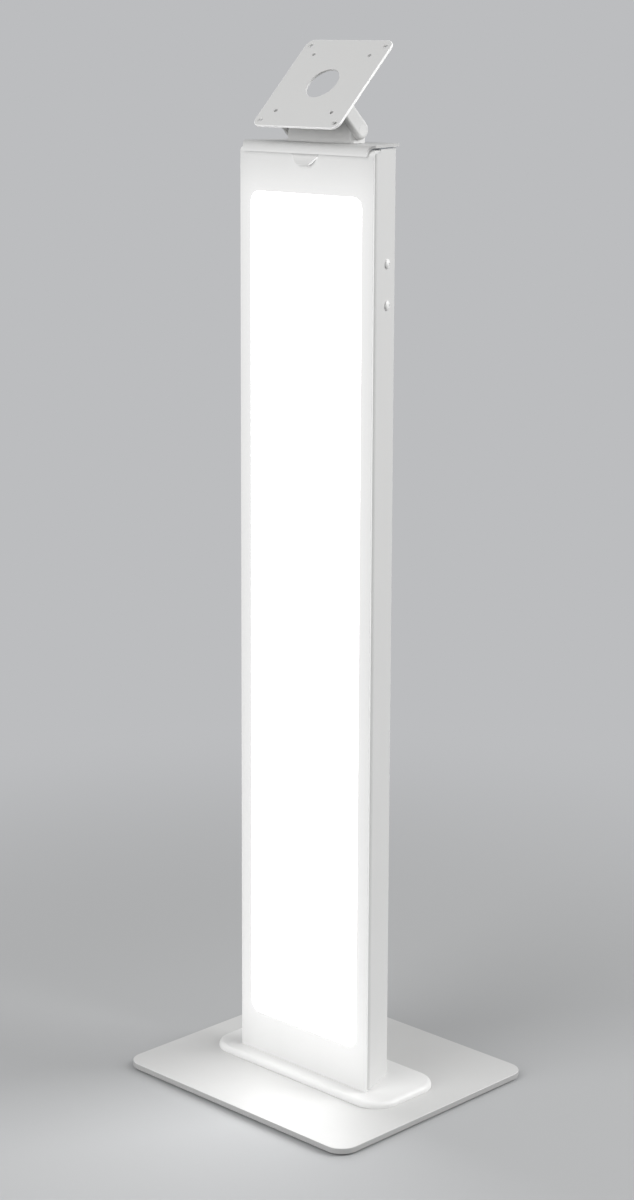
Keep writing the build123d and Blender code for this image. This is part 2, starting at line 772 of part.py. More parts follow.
# Pivot bolts: shanks turn in the ears' bores with the yoke
with BuildPart() as pivot_bolts:
    for pivot_plane in pivot_planes:
        with BuildSketch(pivot_plane):
            Circle(pivot_head_radius)
        extrude(amount=pivot_head_height)
        with BuildSketch(pivot_plane):
            Circle(pivot_radius)
        extrude(amount=-pivot_length)
pivot_bolts.part.label = "pivot_bolts"
export_step(pivot_bolts.part, "parts/pivot_bolts.step")

# Pivot plugs: discs that close the arms' bolt recesses
with BuildPart() as pivot_plugs:
    for pivot_plane in pivot_planes:
        with BuildSketch(pivot_plane.offset(pivot_head_height)):
            Circle(pivot_head_radius)
        extrude(amount=plug_thickness)
pivot_plugs.part.label = "pivot_plugs"
export_step(pivot_plugs.part, "parts/pivot_plugs.step")

# Friction washers between ears and arms
with BuildPart() as friction_washers:
    for side in (-1, 1):
        ear_face = Plane(
            origin=(side * bracket_width / 2, pivot_y, pivot_z), x_dir=(0, 1, 0), z_dir=(side, 0, 0)
        )
        with BuildSketch(ear_face):
            Circle(washer_radius)
            Circle(pivot_radius + running_gap, mode=Mode.SUBTRACT)
        extrude(amount=washer_thickness - shaft_clearance)
friction_washers.part.label = "friction_washers"
export_step(friction_washers.part, "parts/friction_washers.step")

# Disc springs: shallow cones that press each nut from its ear
with BuildPart() as disc_springs:
    for side in (-1, 1):
        spring_bore = pivot_radius + running_gap
        with BuildSketch(Plane.XY.move(Location((0, pivot_y, pivot_z)))):
            wide_x = side * ear_inner_x
            narrow_x = side * (ear_inner_x - spring_cone)
            Polygon(
                (wide_x, spring_radius),
                (wide_x - side * spring_sheet, spring_radius),
                (narrow_x - side * (spring_sheet - shaft_clearance), spring_bore),
                (narrow_x, spring_bore),
                align=None,
            )
        revolve(axis=Axis((0, pivot_y, pivot_z), (1, 0, 0)))
disc_springs.part.label = "disc_springs"
export_step(disc_springs.part, "parts/disc_springs.step")

# Pivot nuts: lock nuts on the bolts' ends
pivot_nut = hex_nut(pivot_nut_across, pivot_nut_height, pivot_radius + thread_clearance)
with BuildPart() as pivot_nuts:
    with Locations(*[plane.offset(nut_outer_x - pivot_seat_x) for plane in pivot_planes]):
        add(pivot_nut)
pivot_nuts.part.label = "pivot_nuts"
export_step(pivot_nuts.part, "parts/pivot_nuts.step")

# LED tray: folded trough behind the window, its lips on the column's front flanges
tray_lip_half = flange_flat_half
tray_mouth_half = tray_lip_half - tray_lip_width
nut_reach = side_grip + screw_nut_height + screw_tail + tray_nut_gap + tray_sheet
tray_floor_half = half_width(tray_floor_y) - nut_reach / math.cos(side_angle)
tray_low = window_bottom - tray_overlap
tray_high = window_top + tray_overlap
with BuildPart() as led_tray:
    with BuildSketch(Plane.XY.offset(tray_low)):
        with BuildLine():
            Polyline(
                (-tray_lip_half, flange_back_y),
                (-tray_mouth_half, flange_back_y),
                (-tray_floor_half, tray_floor_y),
                (tray_floor_half, tray_floor_y),
                (tray_mouth_half, flange_back_y),
                (tray_lip_half, flange_back_y),
            )
            offset(amount=tray_sheet, side=Side.LEFT)
        make_face()
    extrude(amount=tray_high - tray_low)
led_tray.part.label = "led_tray"
export_step(led_tray.part, "parts/led_tray.step")

# LED strips: narrow boards with chips on the tray's floor
strip_length = tray_high - tray_low - 2 * strip_end_gap
strip_pitch = 2 * tray_floor_half / strip_count
chip_count = int((strip_length - chip_size) / chip_pitch) + 1
with BuildPart() as led_strips:
    with BuildSketch(Plane.XZ.offset(-tray_floor_y)):
        with Locations((0, (tray_low + tray_high) / 2)):
            with GridLocations(strip_pitch, 1, strip_count, 1):
                Rectangle(strip_width, strip_length)
    extrude(amount=strip_thickness)
    with BuildSketch(Plane.XZ.offset(strip_thickness - tray_floor_y)):
        with Locations((0, (tray_low + tray_high) / 2)):
            with GridLocations(strip_pitch, chip_pitch, strip_count, chip_count):
                Rectangle(chip_size, chip_size)
    extrude(amount=chip_thickness)
led_strips.part.label = "led_strips"
export_step(led_strips.part, "parts/led_strips.step")

# LED driver: slim case with two ears on the tray's back
driver_y = tray_floor_y + tray_sheet
driver_low = plinth_top + driver_rise
driver_middle = driver_low + driver_length / 2
driver_plane = Plane(origin=(0, driver_y, driver_middle), x_dir=(1, 0, 0), z_dir=(0, 1, 0))
driver_hole_spacing = driver_length + driver_ear
with BuildPart() as led_driver:
    with BuildSketch(driver_plane):
        Rectangle(driver_width, driver_length)
    extrude(amount=driver_depth)
    fillet(led_driver.edges().filter_by(Axis.Z), panel_edge_radius * 3)
    with BuildSketch(driver_plane):
        Rectangle(driver_width / 2, driver_length + 2 * driver_ear)
    extrude(amount=driver_ear_thickness)
    with Locations(driver_plane.offset(driver_ear_thickness)):
        with GridLocations(1, driver_hole_spacing, 1, 2):
            Hole(driver_screw_radius, driver_ear_thickness)
led_driver.part.label = "led_driver"
export_step(led_driver.part, "parts/led_driver.step")

# Driver screws: short pan heads in the ears
with BuildPart() as driver_screws:
    with BuildSketch(driver_plane.offset(driver_ear_thickness)):
        with GridLocations(1, driver_hole_spacing, 1, 2):
            Circle(driver_screw_head_radius)
    extrude(amount=driver_screw_head_height)
    with BuildSketch(driver_plane.offset(driver_ear_thickness)):
        with GridLocations(1, driver_hole_spacing, 1, 2):
            Circle(driver_screw_radius - thread_clearance)
    extrude(amount=-driver_ear_thickness)
driver_screws.part.label = "driver_screws"
export_step(driver_screws.part, "parts/driver_screws.step")
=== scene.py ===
import json
import math
import bmesh
import bpy
from mathutils import Matrix, Vector


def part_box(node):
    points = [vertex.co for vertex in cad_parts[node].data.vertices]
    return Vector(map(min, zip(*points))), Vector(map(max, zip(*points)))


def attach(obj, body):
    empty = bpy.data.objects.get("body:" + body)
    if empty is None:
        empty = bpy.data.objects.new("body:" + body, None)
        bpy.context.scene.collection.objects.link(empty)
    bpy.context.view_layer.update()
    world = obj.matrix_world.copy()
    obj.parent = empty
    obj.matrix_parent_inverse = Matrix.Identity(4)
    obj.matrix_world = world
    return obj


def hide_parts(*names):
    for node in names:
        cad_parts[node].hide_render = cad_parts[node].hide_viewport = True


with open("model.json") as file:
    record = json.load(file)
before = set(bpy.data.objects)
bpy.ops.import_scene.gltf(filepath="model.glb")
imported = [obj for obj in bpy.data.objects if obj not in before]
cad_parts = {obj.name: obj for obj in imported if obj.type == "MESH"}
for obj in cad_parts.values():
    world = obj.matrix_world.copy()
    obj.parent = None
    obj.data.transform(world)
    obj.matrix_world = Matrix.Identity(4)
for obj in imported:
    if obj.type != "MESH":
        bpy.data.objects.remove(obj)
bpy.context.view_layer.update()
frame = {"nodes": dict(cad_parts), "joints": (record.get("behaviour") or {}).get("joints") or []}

# Camera
# Stands in front and to the right of the stand, a little above the screen plate's height,
# and looks down slightly. The lens is long, so the column's edges stay nearly parallel.

# The stand's sizes are written in millimetres, times mm, and the studio's in metres.
mm = 0.001
camera_place = Vector((1713.4, -1790.4, 1084.8)) * mm
camera_yaw = math.radians(45.12)
camera_pitch = math.radians(11.27)
picture_height = 1200
focal_pixels = 2513.6
shift_x_pixels = 48.85
shift_y_pixels = -80.6
camera_data = bpy.data.cameras.new("photo_camera")
camera_data.sensor_width = 36
camera_data.lens = focal_pixels / picture_height * camera_data.sensor_width
camera_data.shift_x = shift_x_pixels / picture_height
camera_data.shift_y = shift_y_pixels / picture_height
camera_data.clip_end = 200
camera = bpy.data.objects.new("photo_camera", camera_data)
camera.location = camera_place
camera.rotation_euler = (math.pi / 2 - camera_pitch, 0, camera_yaw)
bpy.context.scene.collection.objects.link(camera)
bpy.context.scene.camera = camera
bpy.context.scene.view_settings.view_transform = "Standard"


# Studio floor
# Plain pale floor that fades into the background at a distance, so no horizon shows. It keeps
# the stand's soft shadow, and its far part lights nothing.
def colour(hex_code):
    """An sRGB hex code as linear red, green, blue and alpha."""
    values = [int(hex_code[start:start + 2], 16) / 255 for start in (1, 3, 5)]
    linear = [v / 12.92 if v <= 0.04045 else ((v + 0.055) / 1.055) ** 2.4 for v in values]
    return (*linear, 1)


def add_node(tree, kind, links=None, **settings):
    """A new node. links gives each input, by name or number, a value or a node's output."""
    node = tree.nodes.new(kind)
    for setting, value in settings.items():
        setattr(node, setting, value)
    for key, value in (links or {}).items():
        if isinstance(value, bpy.types.NodeSocket):
            tree.links.new(value, node.inputs[key])
        else:
            node.inputs[key].default_value = value
    return node


def new_material(name):
    """An empty material with its output node."""
    material = bpy.data.materials.new(name)
    material.use_nodes = True
    material.node_tree.nodes.clear()
    output = add_node(material.node_tree, "ShaderNodeOutputMaterial")
    return material, material.node_tree, output


def seen_directly(tree):
    """Output that is 1 for the camera and for mirror and glass rays, and 0 for scattered light."""
    rays = add_node(tree, "ShaderNodeLightPath").outputs
    mirrored = {0: rays["Is Camera Ray"], 1: rays["Is Glossy Ray"]}
    first = add_node(tree, "ShaderNodeMath", mirrored, operation="ADD")
    through = {0: first.outputs[0], 1: rays["Is Transmission Ray"]}
    return add_node(tree, "ShaderNodeMath", through, operation="ADD", use_clamp=True).outputs[0]


backdrop_colour = "#BCBDBF"
floor_colour = "#B8B9BA"
fade_start = 0.35
fade_end = 1.3
floor_half = 40

floor_material, tree, output = new_material("studio_floor_paper")
coords = add_node(tree, "ShaderNodeTexCoord")
distance = add_node(tree, "ShaderNodeVectorMath", {0: coords.outputs["Object"]}, operation="LENGTH")
fade = add_node(
    tree,
    "ShaderNodeMapRange",
    {"Value": distance.outputs["Value"], "From Min": fade_start, "From Max": fade_end},
    interpolation_type="SMOOTHSTEP",
)
paper = add_node(tree, "ShaderNodeBsdfDiffuse", {"Color": colour(floor_colour)})
far_paper = add_node(
    tree,
    "ShaderNodeEmission",
    {"Color": colour(backdrop_colour), "Strength": seen_directly(tree)},
)
blend = add_node(
    tree,
    "ShaderNodeMixShader",
    {0: fade.outputs["Result"], 1: paper.outputs["BSDF"], 2: far_paper.outputs["Emission"]},
)
tree.links.new(blend.outputs["Shader"], output.inputs["Surface"])

floor_mesh = bpy.data.meshes.new("studio_floor")
floor_corners = [(-floor_half, -floor_half, 0), (floor_half, -floor_half, 0)]
floor_corners += [(floor_half, floor_half, 0), (-floor_half, floor_half, 0)]
floor_mesh.from_pydata(floor_corners, [], [(0, 1, 2, 3)])
floor_mesh.materials.append(floor_material)
studio_floor = bpy.data.objects.new("studio_floor", floor_mesh)
bpy.context.scene.collection.objects.link(studio_floor)

# Studio light
# Even pale surroundings and three large soft lamps: one in front, one above it and one behind
# at the right, so that front, side and top differ a little in tone and shadows stay soft.
white_light = colour("#FFFFFF")
surroundings_strength = 0.3
world = bpy.data.worlds.new("studio")
world.use_nodes = True
tree = world.node_tree
tree.nodes.clear()
surroundings = add_node(
    tree, "ShaderNodeBackground", {"Color": white_light, "Strength": surroundings_strength}
)
backdrop = add_node(tree, "ShaderNodeBackground", {"Color": colour(backdrop_colour), "Strength": 1})
pick = add_node(
    tree,
    "ShaderNodeMixShader",
    {
        0: seen_directly(tree),
        1: surroundings.outputs["Background"],
        2: backdrop.outputs["Background"],
    },
)
output = add_node(tree, "ShaderNodeOutputWorld", {"Surface": pick.outputs["Shader"]})
bpy.context.scene.world = world

lamps = {
    "front_softbox": {"place": (-0.5, -3.2, 1.5), "size": 2.2, "power": 52},
    "top_softbox": {"place": (0, -2, 2.8), "size": 1.6, "power": 20},
    "right_softbox": {"place": (2.2, 2, 2), "size": 2, "power": 95},
}
lamp_target = Vector((0, 0, 0.6))
for lamp_name, lamp in lamps.items():
    lamp_data = bpy.data.lights.new(lamp_name, "AREA")
    lamp_data.shape = "SQUARE"
    lamp_data.size = lamp["size"]
    lamp_data.energy = lamp["power"]
    lamp_object = bpy.data.objects.new(lamp_name, lamp_data)
    lamp_object.location = lamp["place"]
    aim = lamp_target - lamp_object.location
    lamp_object.rotation_euler = aim.to_track_quat("-Z", "Y").to_euler()
    bpy.context.scene.collection.objects.link(lamp_object)


# Base plate
# Flat steel plate, about 6 mm thick, laser cut with rounded corners and its edges broken,
# then powder coated. Its white is a shade greyer than the column's.
def rounded_rectangle(width, depth, radius, inset=0, steps=14):
    """Corner arcs of a rectangle drawn in by inset, counter-clockwise from the +x +y corner."""
    points = []
    for corner, (side_x, side_y) in enumerate(((1, 1), (-1, 1), (-1, -1), (1, -1))):
        for step in range(steps + 1):
            angle = math.pi / 2 * (corner + step / steps)
            x = side_x * (width / 2 - radius) + (radius - inset) * math.cos(angle)
            y = side_y * (depth / 2 - radius) + (radius - inset) * math.sin(angle)
            points.append((x, y))
    return points


def link_mesh(name, points, faces):
    """A mesh object from points in metres."""
    mesh = bpy.data.meshes.new(name)
    mesh.from_pydata([tuple(point) for point in points], [], faces)
    mesh.update()
    piece = bpy.data.objects.new(name, mesh)
    bpy.context.scene.collection.objects.link(piece)
    return piece


def smooth_faces(piece):
    """Smooth shading with sharp creases. Flat faces stay flat up to their rounded edges."""
    crease = math.radians(32)
    piece.data.shade_smooth()
    piece.data.set_sharp_from_angle(angle=crease)
    flat = piece.modifiers.new("flat faces", "WEIGHTED_NORMAL")
    flat.keep_sharp = True
    flat.weight = 100


def stack_rings(name, rings):
    """Closed shell through rings of equal length, its first ring at the bottom."""
    count = len(rings[0])
    points = [point for ring in rings for point in ring]
    faces = [tuple(reversed(range(count)))]
    for level in range(len(rings) - 1):
        for index in range(count):
            here = level * count + index
            beside = level * count + (index + 1) % count
            faces.append((here, beside, beside + count, here + count))
    faces.append(tuple(range((len(rings) - 1) * count, len(rings) * count)))
    return link_mesh(name, points, faces)


def edge_arc(radius, steps=6):
    """Inset and drop along a rounded edge, from the wall up to the flat face."""
    angles = [math.pi / 2 * step / steps for step in range(steps + 1)]
    return [(radius * (1 - math.cos(angle)), radius * (1 - math.sin(angle))) for angle in angles]


def rounded_slab(name, low, high, corner, lower_arc, upper_arc):
    """Plate that fills a box, with round corners and an edge arc below and above."""
    middle_y = (low.y + high.y) / 2
    levels = [(inset, low.z + drop) for inset, drop in reversed(lower_arc)]
    levels += [(inset, high.z - drop) for inset, drop in upper_arc]
    rings = []
    for inset, z in levels:
        outline = rounded_rectangle(high.x - low.x, high.y - low.y, corner, inset)
        rings.append([(x, y + middle_y, z) for x, y in outline])
    return stack_rings(name, rings)


def powder_coat(name, pale, shade, grain=1.1):
    """Powder coat on metal: satin, its tone and gloss a little uneven over some centimetres,
    with an orange peel that glitters faintly in a highlight. grain is the peel's in millimetres."""
    tone_patch = 90 * mm
    gloss_patch = 12 * mm
    smoothest = 0.38
    roughest = 0.5
    peel_height = 0.05 * mm
    material, tree, output = new_material(name)
    coords = add_node(tree, "ShaderNodeTexCoord")
    place = coords.outputs["Object"]
    cloud = add_node(
        tree, "ShaderNodeTexNoise", {"Vector": place, "Scale": 1 / tone_patch, "Detail": 3.0}
    )
    tone = add_node(
        tree,
        "ShaderNodeMix",
        {0: cloud.outputs["Fac"], 6: colour(pale), 7: colour(shade)},
        data_type="RGBA",
    )
    haze = add_node(
        tree, "ShaderNodeTexNoise", {"Vector": place, "Scale": 1 / gloss_patch, "Detail": 2.0}
    )
    gloss = add_node(
        tree,
        "ShaderNodeMapRange",
        {"Value": haze.outputs["Fac"], "To Min": smoothest, "To Max": roughest},
    )
    peel = add_node(
        tree, "ShaderNodeTexNoise", {"Vector": place, "Scale": 1 / (grain * mm), "Detail": 1.0}
    )
    relief = add_node(
        tree,
        "ShaderNodeBump",
        {"Height": peel.outputs["Fac"], "Strength": 0.12, "Distance": peel_height},
    )
    shader = add_node(
        tree,
        "ShaderNodeBsdfPrincipled",
        {
            "Base Color": tone.outputs[2],
            "Roughness": gloss.outputs["Result"],
            "Normal": relief.outputs["Normal"],
            "IOR": 1.5,
        },
    )
    tree.links.new(shader.outputs["BSDF"], output.inputs["Surface"])
    return material


# This white is a little greyer and less even than the column's coat.
base_coat = powder_coat("greyer_white_powder_coat", "#D4D4D3", "#CFCFCE")
# The base's cut edge is painted grey as shade, for the little light the floor throws up on it,
# which sets the edge off.
edge_shade_coat = powder_coat("cut_edge_painted_shade", "#B6B6B5", "#B0B0AF")

base_low, base_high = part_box("base_plate")
base_corner = 20 * mm
base_edge = 0.8 * mm
base_arc = edge_arc(base_edge)
base_sheet = rounded_slab("base_sheet", base_low, base_high, base_corner, base_arc, base_arc)
base_sheet.data.materials.append(base_coat)
base_sheet.data.materials.append(edge_shade_coat)
shaded_edge_normal_z = 0.5
# The cut edge's faces take the painted shade.
for face in base_sheet.data.polygons:
    if abs(face.normal.z) < shaded_edge_normal_z:
        face.material_index = 1
smooth_faces(base_sheet)
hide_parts("base_plate")
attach(base_sheet, "stand")


# Rubber feet
# Four thin self-adhesive pads of black rubber near the base plate's corners. They lift the
# plate a little, so a dark line shows under its edge.
def new_tree(name, inputs):
    """An empty geometry tree with named inputs and its group nodes."""
    tree = bpy.data.node_groups.new(name, "GeometryNodeTree")
    tree.interface.new_socket("Geometry", in_out="INPUT", socket_type="NodeSocketGeometry")
    for input_name, kind in inputs:
        tree.interface.new_socket(input_name, in_out="INPUT", socket_type=kind)
    tree.interface.new_socket("Geometry", in_out="OUTPUT", socket_type="NodeSocketGeometry")
    return tree, add_node(tree, "NodeGroupInput"), add_node(tree, "NodeGroupOutput")


def grow(name, tree, values, points, directions=None):
    """Plain mesh piece grown by a geometry tree on the given points."""
    seed = link_mesh(name, points, [])
    if directions:
        axis = seed.data.attributes.new("axis", "FLOAT_VECTOR", "POINT")
        for index, direction in enumerate(directions):
            axis.data[index].vector = direction
    modifier = seed.modifiers.new(tree.name, "NODES")
    modifier.node_group = tree
    sockets = {item.name: item.identifier for item in tree.interface.items_tree}
    for input_name, value in values.items():
        modifier[sockets[input_name]] = value
    graph = bpy.context.evaluated_depsgraph_get()
    mesh = bpy.data.meshes.new_from_object(seed.evaluated_get(graph), depsgraph=graph)
    seed.modifiers.remove(modifier)
    seed.data = mesh
    mesh.name = name
    return seed


def end_tree(tree, group_out, instances, finish):
    """Ends a tree: its instances become one mesh that carries the finish."""
    real = add_node(
        tree, "GeometryNodeRealizeInstances", {"Geometry": instances.outputs["Instances"]}
    )
    painted = add_node(
        tree,
        "GeometryNodeSetMaterial",
        {"Geometry": real.outputs["Geometry"], "Material": finish},
    )
    tree.links.new(painted.outputs["Geometry"], group_out.inputs["Geometry"])


# Moulded rubber is dull and near black, with a faint grey bloom and a soft, uneven skin.
bloom_patch = 3 * mm
skin_height = 0.1 * mm
rubber, tree, output = new_material("moulded_black_rubber")
coords = add_node(tree, "ShaderNodeTexCoord")
bloom = add_node(
    tree, "ShaderNodeTexNoise", {"Vector": coords.outputs["Object"], "Scale": 1 / bloom_patch}
)
tone = add_node(
    tree,
    "ShaderNodeMix",
    {0: bloom.outputs["Fac"], 6: colour("#1B1B1C"), 7: colour("#262627")},
    data_type="RGBA",
)
relief = add_node(
    tree,
    "ShaderNodeBump",
    {"Height": bloom.outputs["Fac"], "Strength": 0.2, "Distance": skin_height},
)
shader = add_node(
    tree,
    "ShaderNodeBsdfPrincipled",
    {"Base Color": tone.outputs[2], "Roughness": 0.75, "Normal": relief.outputs["Normal"]},
)
tree.links.new(shader.outputs["BSDF"], output.inputs["Surface"])

tree, group_in, group_out = new_tree(
    "rubber_pads",
    [
        ("Radius", "NodeSocketFloat"),
        ("Height", "NodeSocketFloat"),
        ("Finish", "NodeSocketMaterial"),
    ],
)
pad = add_node(
    tree,
    "GeometryNodeMeshCylinder",
    {"Vertices": 48, "Radius": group_in.outputs["Radius"], "Depth": group_in.outputs["Height"]},
)
pads = add_node(
    tree,
    "GeometryNodeInstanceOnPoints",
    {"Points": group_in.outputs["Geometry"], "Instance": pad.outputs["Mesh"]},
)
end_tree(tree, group_out, pads, group_in.outputs["Finish"])

feet_low, feet_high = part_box("rubber_feet")
pad_radius = 11 * mm
pad_height = feet_high.z - feet_low.z
corner_signs = [(side_x, side_y) for side_x in (-1, 1) for side_y in (-1, 1)]
pad_points = [
    (side_x * (feet_high.x - pad_radius), side_y * (feet_high.y - pad_radius), pad_height / 2)
    for side_x, side_y in corner_signs
]
rubber_pads = grow(
    "rubber_pads", tree, {"Radius": pad_radius, "Height": pad_height, "Finish": rubber}, pad_points
)
smooth_faces(rubber_pads)
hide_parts("rubber_feet")
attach(rubber_pads, "stand")

# Foot plate
# Steel plate under the column, a little thicker than the base's, with wide corners and a softly
# rounded upper edge, coated white and painted a brighter white for the window's light on it. The
# groove for the front panel's lower edge lies hidden under that edge, so it isn't drawn.
foot_low, foot_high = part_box("foot_plate")
foot_corner = 28 * mm
foot_upper_edge = 4.5 * mm
foot_lower_edge = 0.3 * mm

# A brighter white is painted light, for the window's light on the foot plate. It sets the plate off
# from the base, and its rounded edge catches a soft line.
foot_painted_light_coat = powder_coat("white_powder_coat_painted_window_light", "#EEEEED", "#EAEAE9")
foot_slab = rounded_slab(
    "foot_slab",
    foot_low,
    foot_high,
    foot_corner,
    edge_arc(foot_lower_edge, steps=2),
    edge_arc(foot_upper_edge, steps=9),
)
foot_slab.data.materials.append(foot_painted_light_coat)
smooth_faces(foot_slab)
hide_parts("foot_plate")
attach(foot_slab, "stand")


# Column body
# One sheet of 1.5 mm steel, folded with rounded front edges, slanted sides and narrow front
# flanges, powder coated. The front of its top is cut down as a seat for the panel's bent edge.
def round_path(corners, radii, steps=8):
    """Open line through the corners with an arc of its own radius at each inner corner."""
    path = [Vector(corners[0])]
    for before, corner, after, radius in zip(corners, corners[1:], corners[2:], radii):
        back = (Vector(before) - Vector(corner)).normalized()
        ahead = (Vector(after) - Vector(corner)).normalized()
        half_turn = back.angle(ahead) / 2
        centre = Vector(corner) + (back + ahead).normalized() * radius / math.sin(half_turn)
        start = Vector(corner) + back * radius / math.tan(half_turn) - centre
        end = Vector(corner) + ahead * radius / math.tan(half_turn) - centre
        turn = math.atan2(start.cross(end), start.dot(end))
        for step in range(steps + 1):
            angle = math.atan2(start.y, start.x) + turn * step / steps
            path.append(centre + radius * Vector((math.cos(angle), math.sin(angle))))
    path.append(Vector(corners[-1]))
    return path


def offset_path(path, distance):
    """The path moved sideways by distance, to its left. least_share keeps spikes off corners."""
    least_share = 0.2
    path = [Vector(point) for point in path]
    moved = []
    for index, point in enumerate(path):
        before = path[max(index - 1, 0)]
        after = path[min(index + 1, len(path) - 1)]
        first = (point - before).normalized() if index else (after - point).normalized()
        second = (after - point).normalized() if index < len(path) - 1 else first
        along = (first + second).normalized()
        left = Vector((-along.y, along.x))
        moved.append(point + left * distance / max(along.dot(first), least_share))
    return moved


def shell_of_lines(name, lines):
    """Closed shell round four lines of points: outer low and high, then inner low and high."""
    count = len(lines[0])
    points = [point for line in lines for point in line]
    outer_low, outer_high, inner_low, inner_high = range(0, 4 * count, count)
    around = (outer_low, outer_high, inner_high, inner_low)
    faces = []
    for here in range(count - 1):
        beside = here + 1
        for first, second in zip(around, around[1:] + around[:1]):
            faces.append((here + first, beside + first, beside + second, here + second))
    faces.append(around)
    faces.append(tuple(start + count - 1 for start in reversed(around)))
    return link_mesh(name, points, faces)


def folded_sheet(name, path, thickness, low, top):
    """Sheet that stands on a plan path, thick to its left. top gives the height at a place."""
    lines = []
    for line in (path, offset_path(path, thickness)):
        lines.append([(place.x, place.y, low) for place in line])
        lines.append([(place.x, place.y, top(place)) for place in line])
    return shell_of_lines(name, lines)


def break_edges(piece, width, segments=2):
    """Small rounded edges on every sharp crease."""
    bevel = piece.modifiers.new("broken edges", "BEVEL")
    bevel.width = width
    bevel.segments = segments
    bevel.limit_method = "ANGLE"
    bevel.angle_limit = math.radians(40)


def cut(piece, cutter):
    """Takes the cutter out of the piece and removes the cutter."""
    knife = piece.modifiers.new("cut", "BOOLEAN")
    knife.object = cutter
    knife.operation = "DIFFERENCE"
    knife.solver = "EXACT"
    graph = bpy.context.evaluated_depsgraph_get()
    mesh = bpy.data.meshes.new_from_object(piece.evaluated_get(graph), depsgraph=graph)
    piece.modifiers.remove(knife)
    piece.data = mesh
    bpy.data.objects.remove(cutter)


def ring_of_points(centre_x, centre_y, radius, steps=48):
    """Points of a round hole."""
    angles = [2 * math.pi * step / steps for step in range(steps)]
    return [(centre_x + radius * math.cos(a), centre_y + radius * math.sin(a)) for a in angles]


def round_cutter(centre, direction, radius, reach):
    """Drill for round holes along a direction, centred on a point."""
    turn = Vector(direction).to_track_quat("Z", "Y")
    rings = []
    for height in (-reach, reach):
        circle = ring_of_points(0, 0, radius)
        rings.append([Vector(centre) + turn @ Vector((x, y, height)) for x, y in circle])
    return stack_rings("drill", rings)


body_low, body_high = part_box("column_body")
panel_low, panel_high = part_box("front_panel")
column_sheet = 1.5 * mm
column_front_half = 90.2 * mm
column_rear_half = 71.4 * mm
side_taper = (column_front_half - column_rear_half) / (body_high.y - panel_low.y)
flange_half = 77 * mm
front_radius = 5.5 * mm
rear_radius = 2.5 * mm


def wall_half(y):
    """Half the column's outer width at a depth."""
    return column_front_half - (y - panel_low.y) * side_taper


column_corners = [
    (-flange_half, body_low.y),
    (-wall_half(body_low.y), body_low.y),
    (-column_rear_half, body_high.y),
    (column_rear_half, body_high.y),
    (wall_half(body_low.y), body_low.y),
    (flange_half, body_low.y),
]
corner_radii = [front_radius, rear_radius, rear_radius, front_radius]
column_path = round_path(column_corners, corner_radii, steps=12)
column_path.reverse()

# Satin white shows each face as one calm tone, with a soft light line along the folds.
coat_pale = "#DEDEDD"
coat_shade = "#DBDBDA"
coat = powder_coat("satin_white_powder_coat", coat_pale, coat_shade)
column_wrap = folded_sheet(
    "column_wrap", column_path, column_sheet, body_low.z, lambda point: body_high.z
)
column_wrap.data.materials.append(coat)

# The panel's bent edge lies on the seat, with the slide's running gap under it and behind it.
panel_thickness = 3 * mm
slide_gap = 0.3 * mm
seat_radius = 2.7 * mm
step_radius = 1.5 * mm
seat_z = panel_high.z - panel_thickness - slide_gap
step_y = panel_high.y + slide_gap
spare = 5 * mm
ahead_y = body_low.y - spare
above_z = body_high.z + spare
seat_profile = [(ahead_y, above_z), (ahead_y, seat_z - seat_radius)]
for inset, drop in edge_arc(seat_radius, steps=8):
    seat_profile.append((body_low.y + inset, seat_z - drop))
for inset, drop in edge_arc(step_radius):
    seat_profile.append((step_y + inset, body_high.z - drop))
seat_profile.append((step_y + step_radius, above_z))
seat_rings = [
    [(x, y, z) for y, z in seat_profile] for x in (-column_front_half, column_front_half)
]
cut(column_wrap, stack_rings("seat", seat_rings))
grommet_low, grommet_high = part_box("rear_grommet")
grommet_middle = (grommet_low + grommet_high) / 2
rear_hole_radius = 10 * mm
rear_drill_reach = 4 * mm
cut(column_wrap, round_cutter(grommet_middle, (0, 1, 0), rear_hole_radius, rear_drill_reach))
column_edge = 0.3 * mm
break_edges(column_wrap, column_edge)
smooth_faces(column_wrap)
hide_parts("column_body")
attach(column_wrap, "stand")


# Front panel
# 3 mm sheet that hangs in front of the column with its top bent back over the column's walls,
# coated white. A painted glow stands in for the window's light around it, so it is brightest there.
def turn_faces_out(piece, place=None, weld_gap=None):
    """Welds and places a mesh where that is asked for, then turns its faces outwards."""
    shell = bmesh.new()
    shell.from_mesh(piece.data)
    if weld_gap is not None:
        bmesh.ops.remove_doubles(shell, verts=shell.verts, dist=weld_gap)
    if place is not None:
        bmesh.ops.transform(shell, matrix=place, verts=shell.verts)
    bmesh.ops.recalc_face_normals(shell, faces=shell.faces)
    shell.to_mesh(piece.data)
    shell.free()


def bent_strip(name, outer, inner, outer_halves, inner_halves=None):
    """Strip along a side profile of depth and height points, with a half width at each point."""
    lines = []
    for line, halves in ((outer, outer_halves), (inner, inner_halves or outer_halves)):
        for side in (-1, 1):
            lines.append([(side * half, y, z) for (y, z), half in zip(line, halves)])
    piece = shell_of_lines(name, lines)
    turn_faces_out(piece)
    return piece


def add_glow(material, strength):
    """Gives a coat a painted white glow. strength is a number or another node's output."""
    shader = material.node_tree.nodes["Principled BSDF"]
    shader.inputs["Emission Color"].default_value = white_light
    if isinstance(strength, bpy.types.NodeSocket):
        material.node_tree.links.new(strength, shader.inputs["Emission Strength"])
    else:
        shader.inputs["Emission Strength"].default_value = strength


panel_back_y = panel_low.y + panel_thickness
panel_bend = 6 * mm
panel_edge = 0.5 * mm
glass_low, glass_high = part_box("light_diffuser")
rebate = 3 * mm
window_width = glass_high.x - glass_low.x - 2 * rebate
window_height = glass_high.z - glass_low.z - 2 * rebate
window_middle_z = (glass_low.z + glass_high.z) / 2
window_corner = 11 * mm
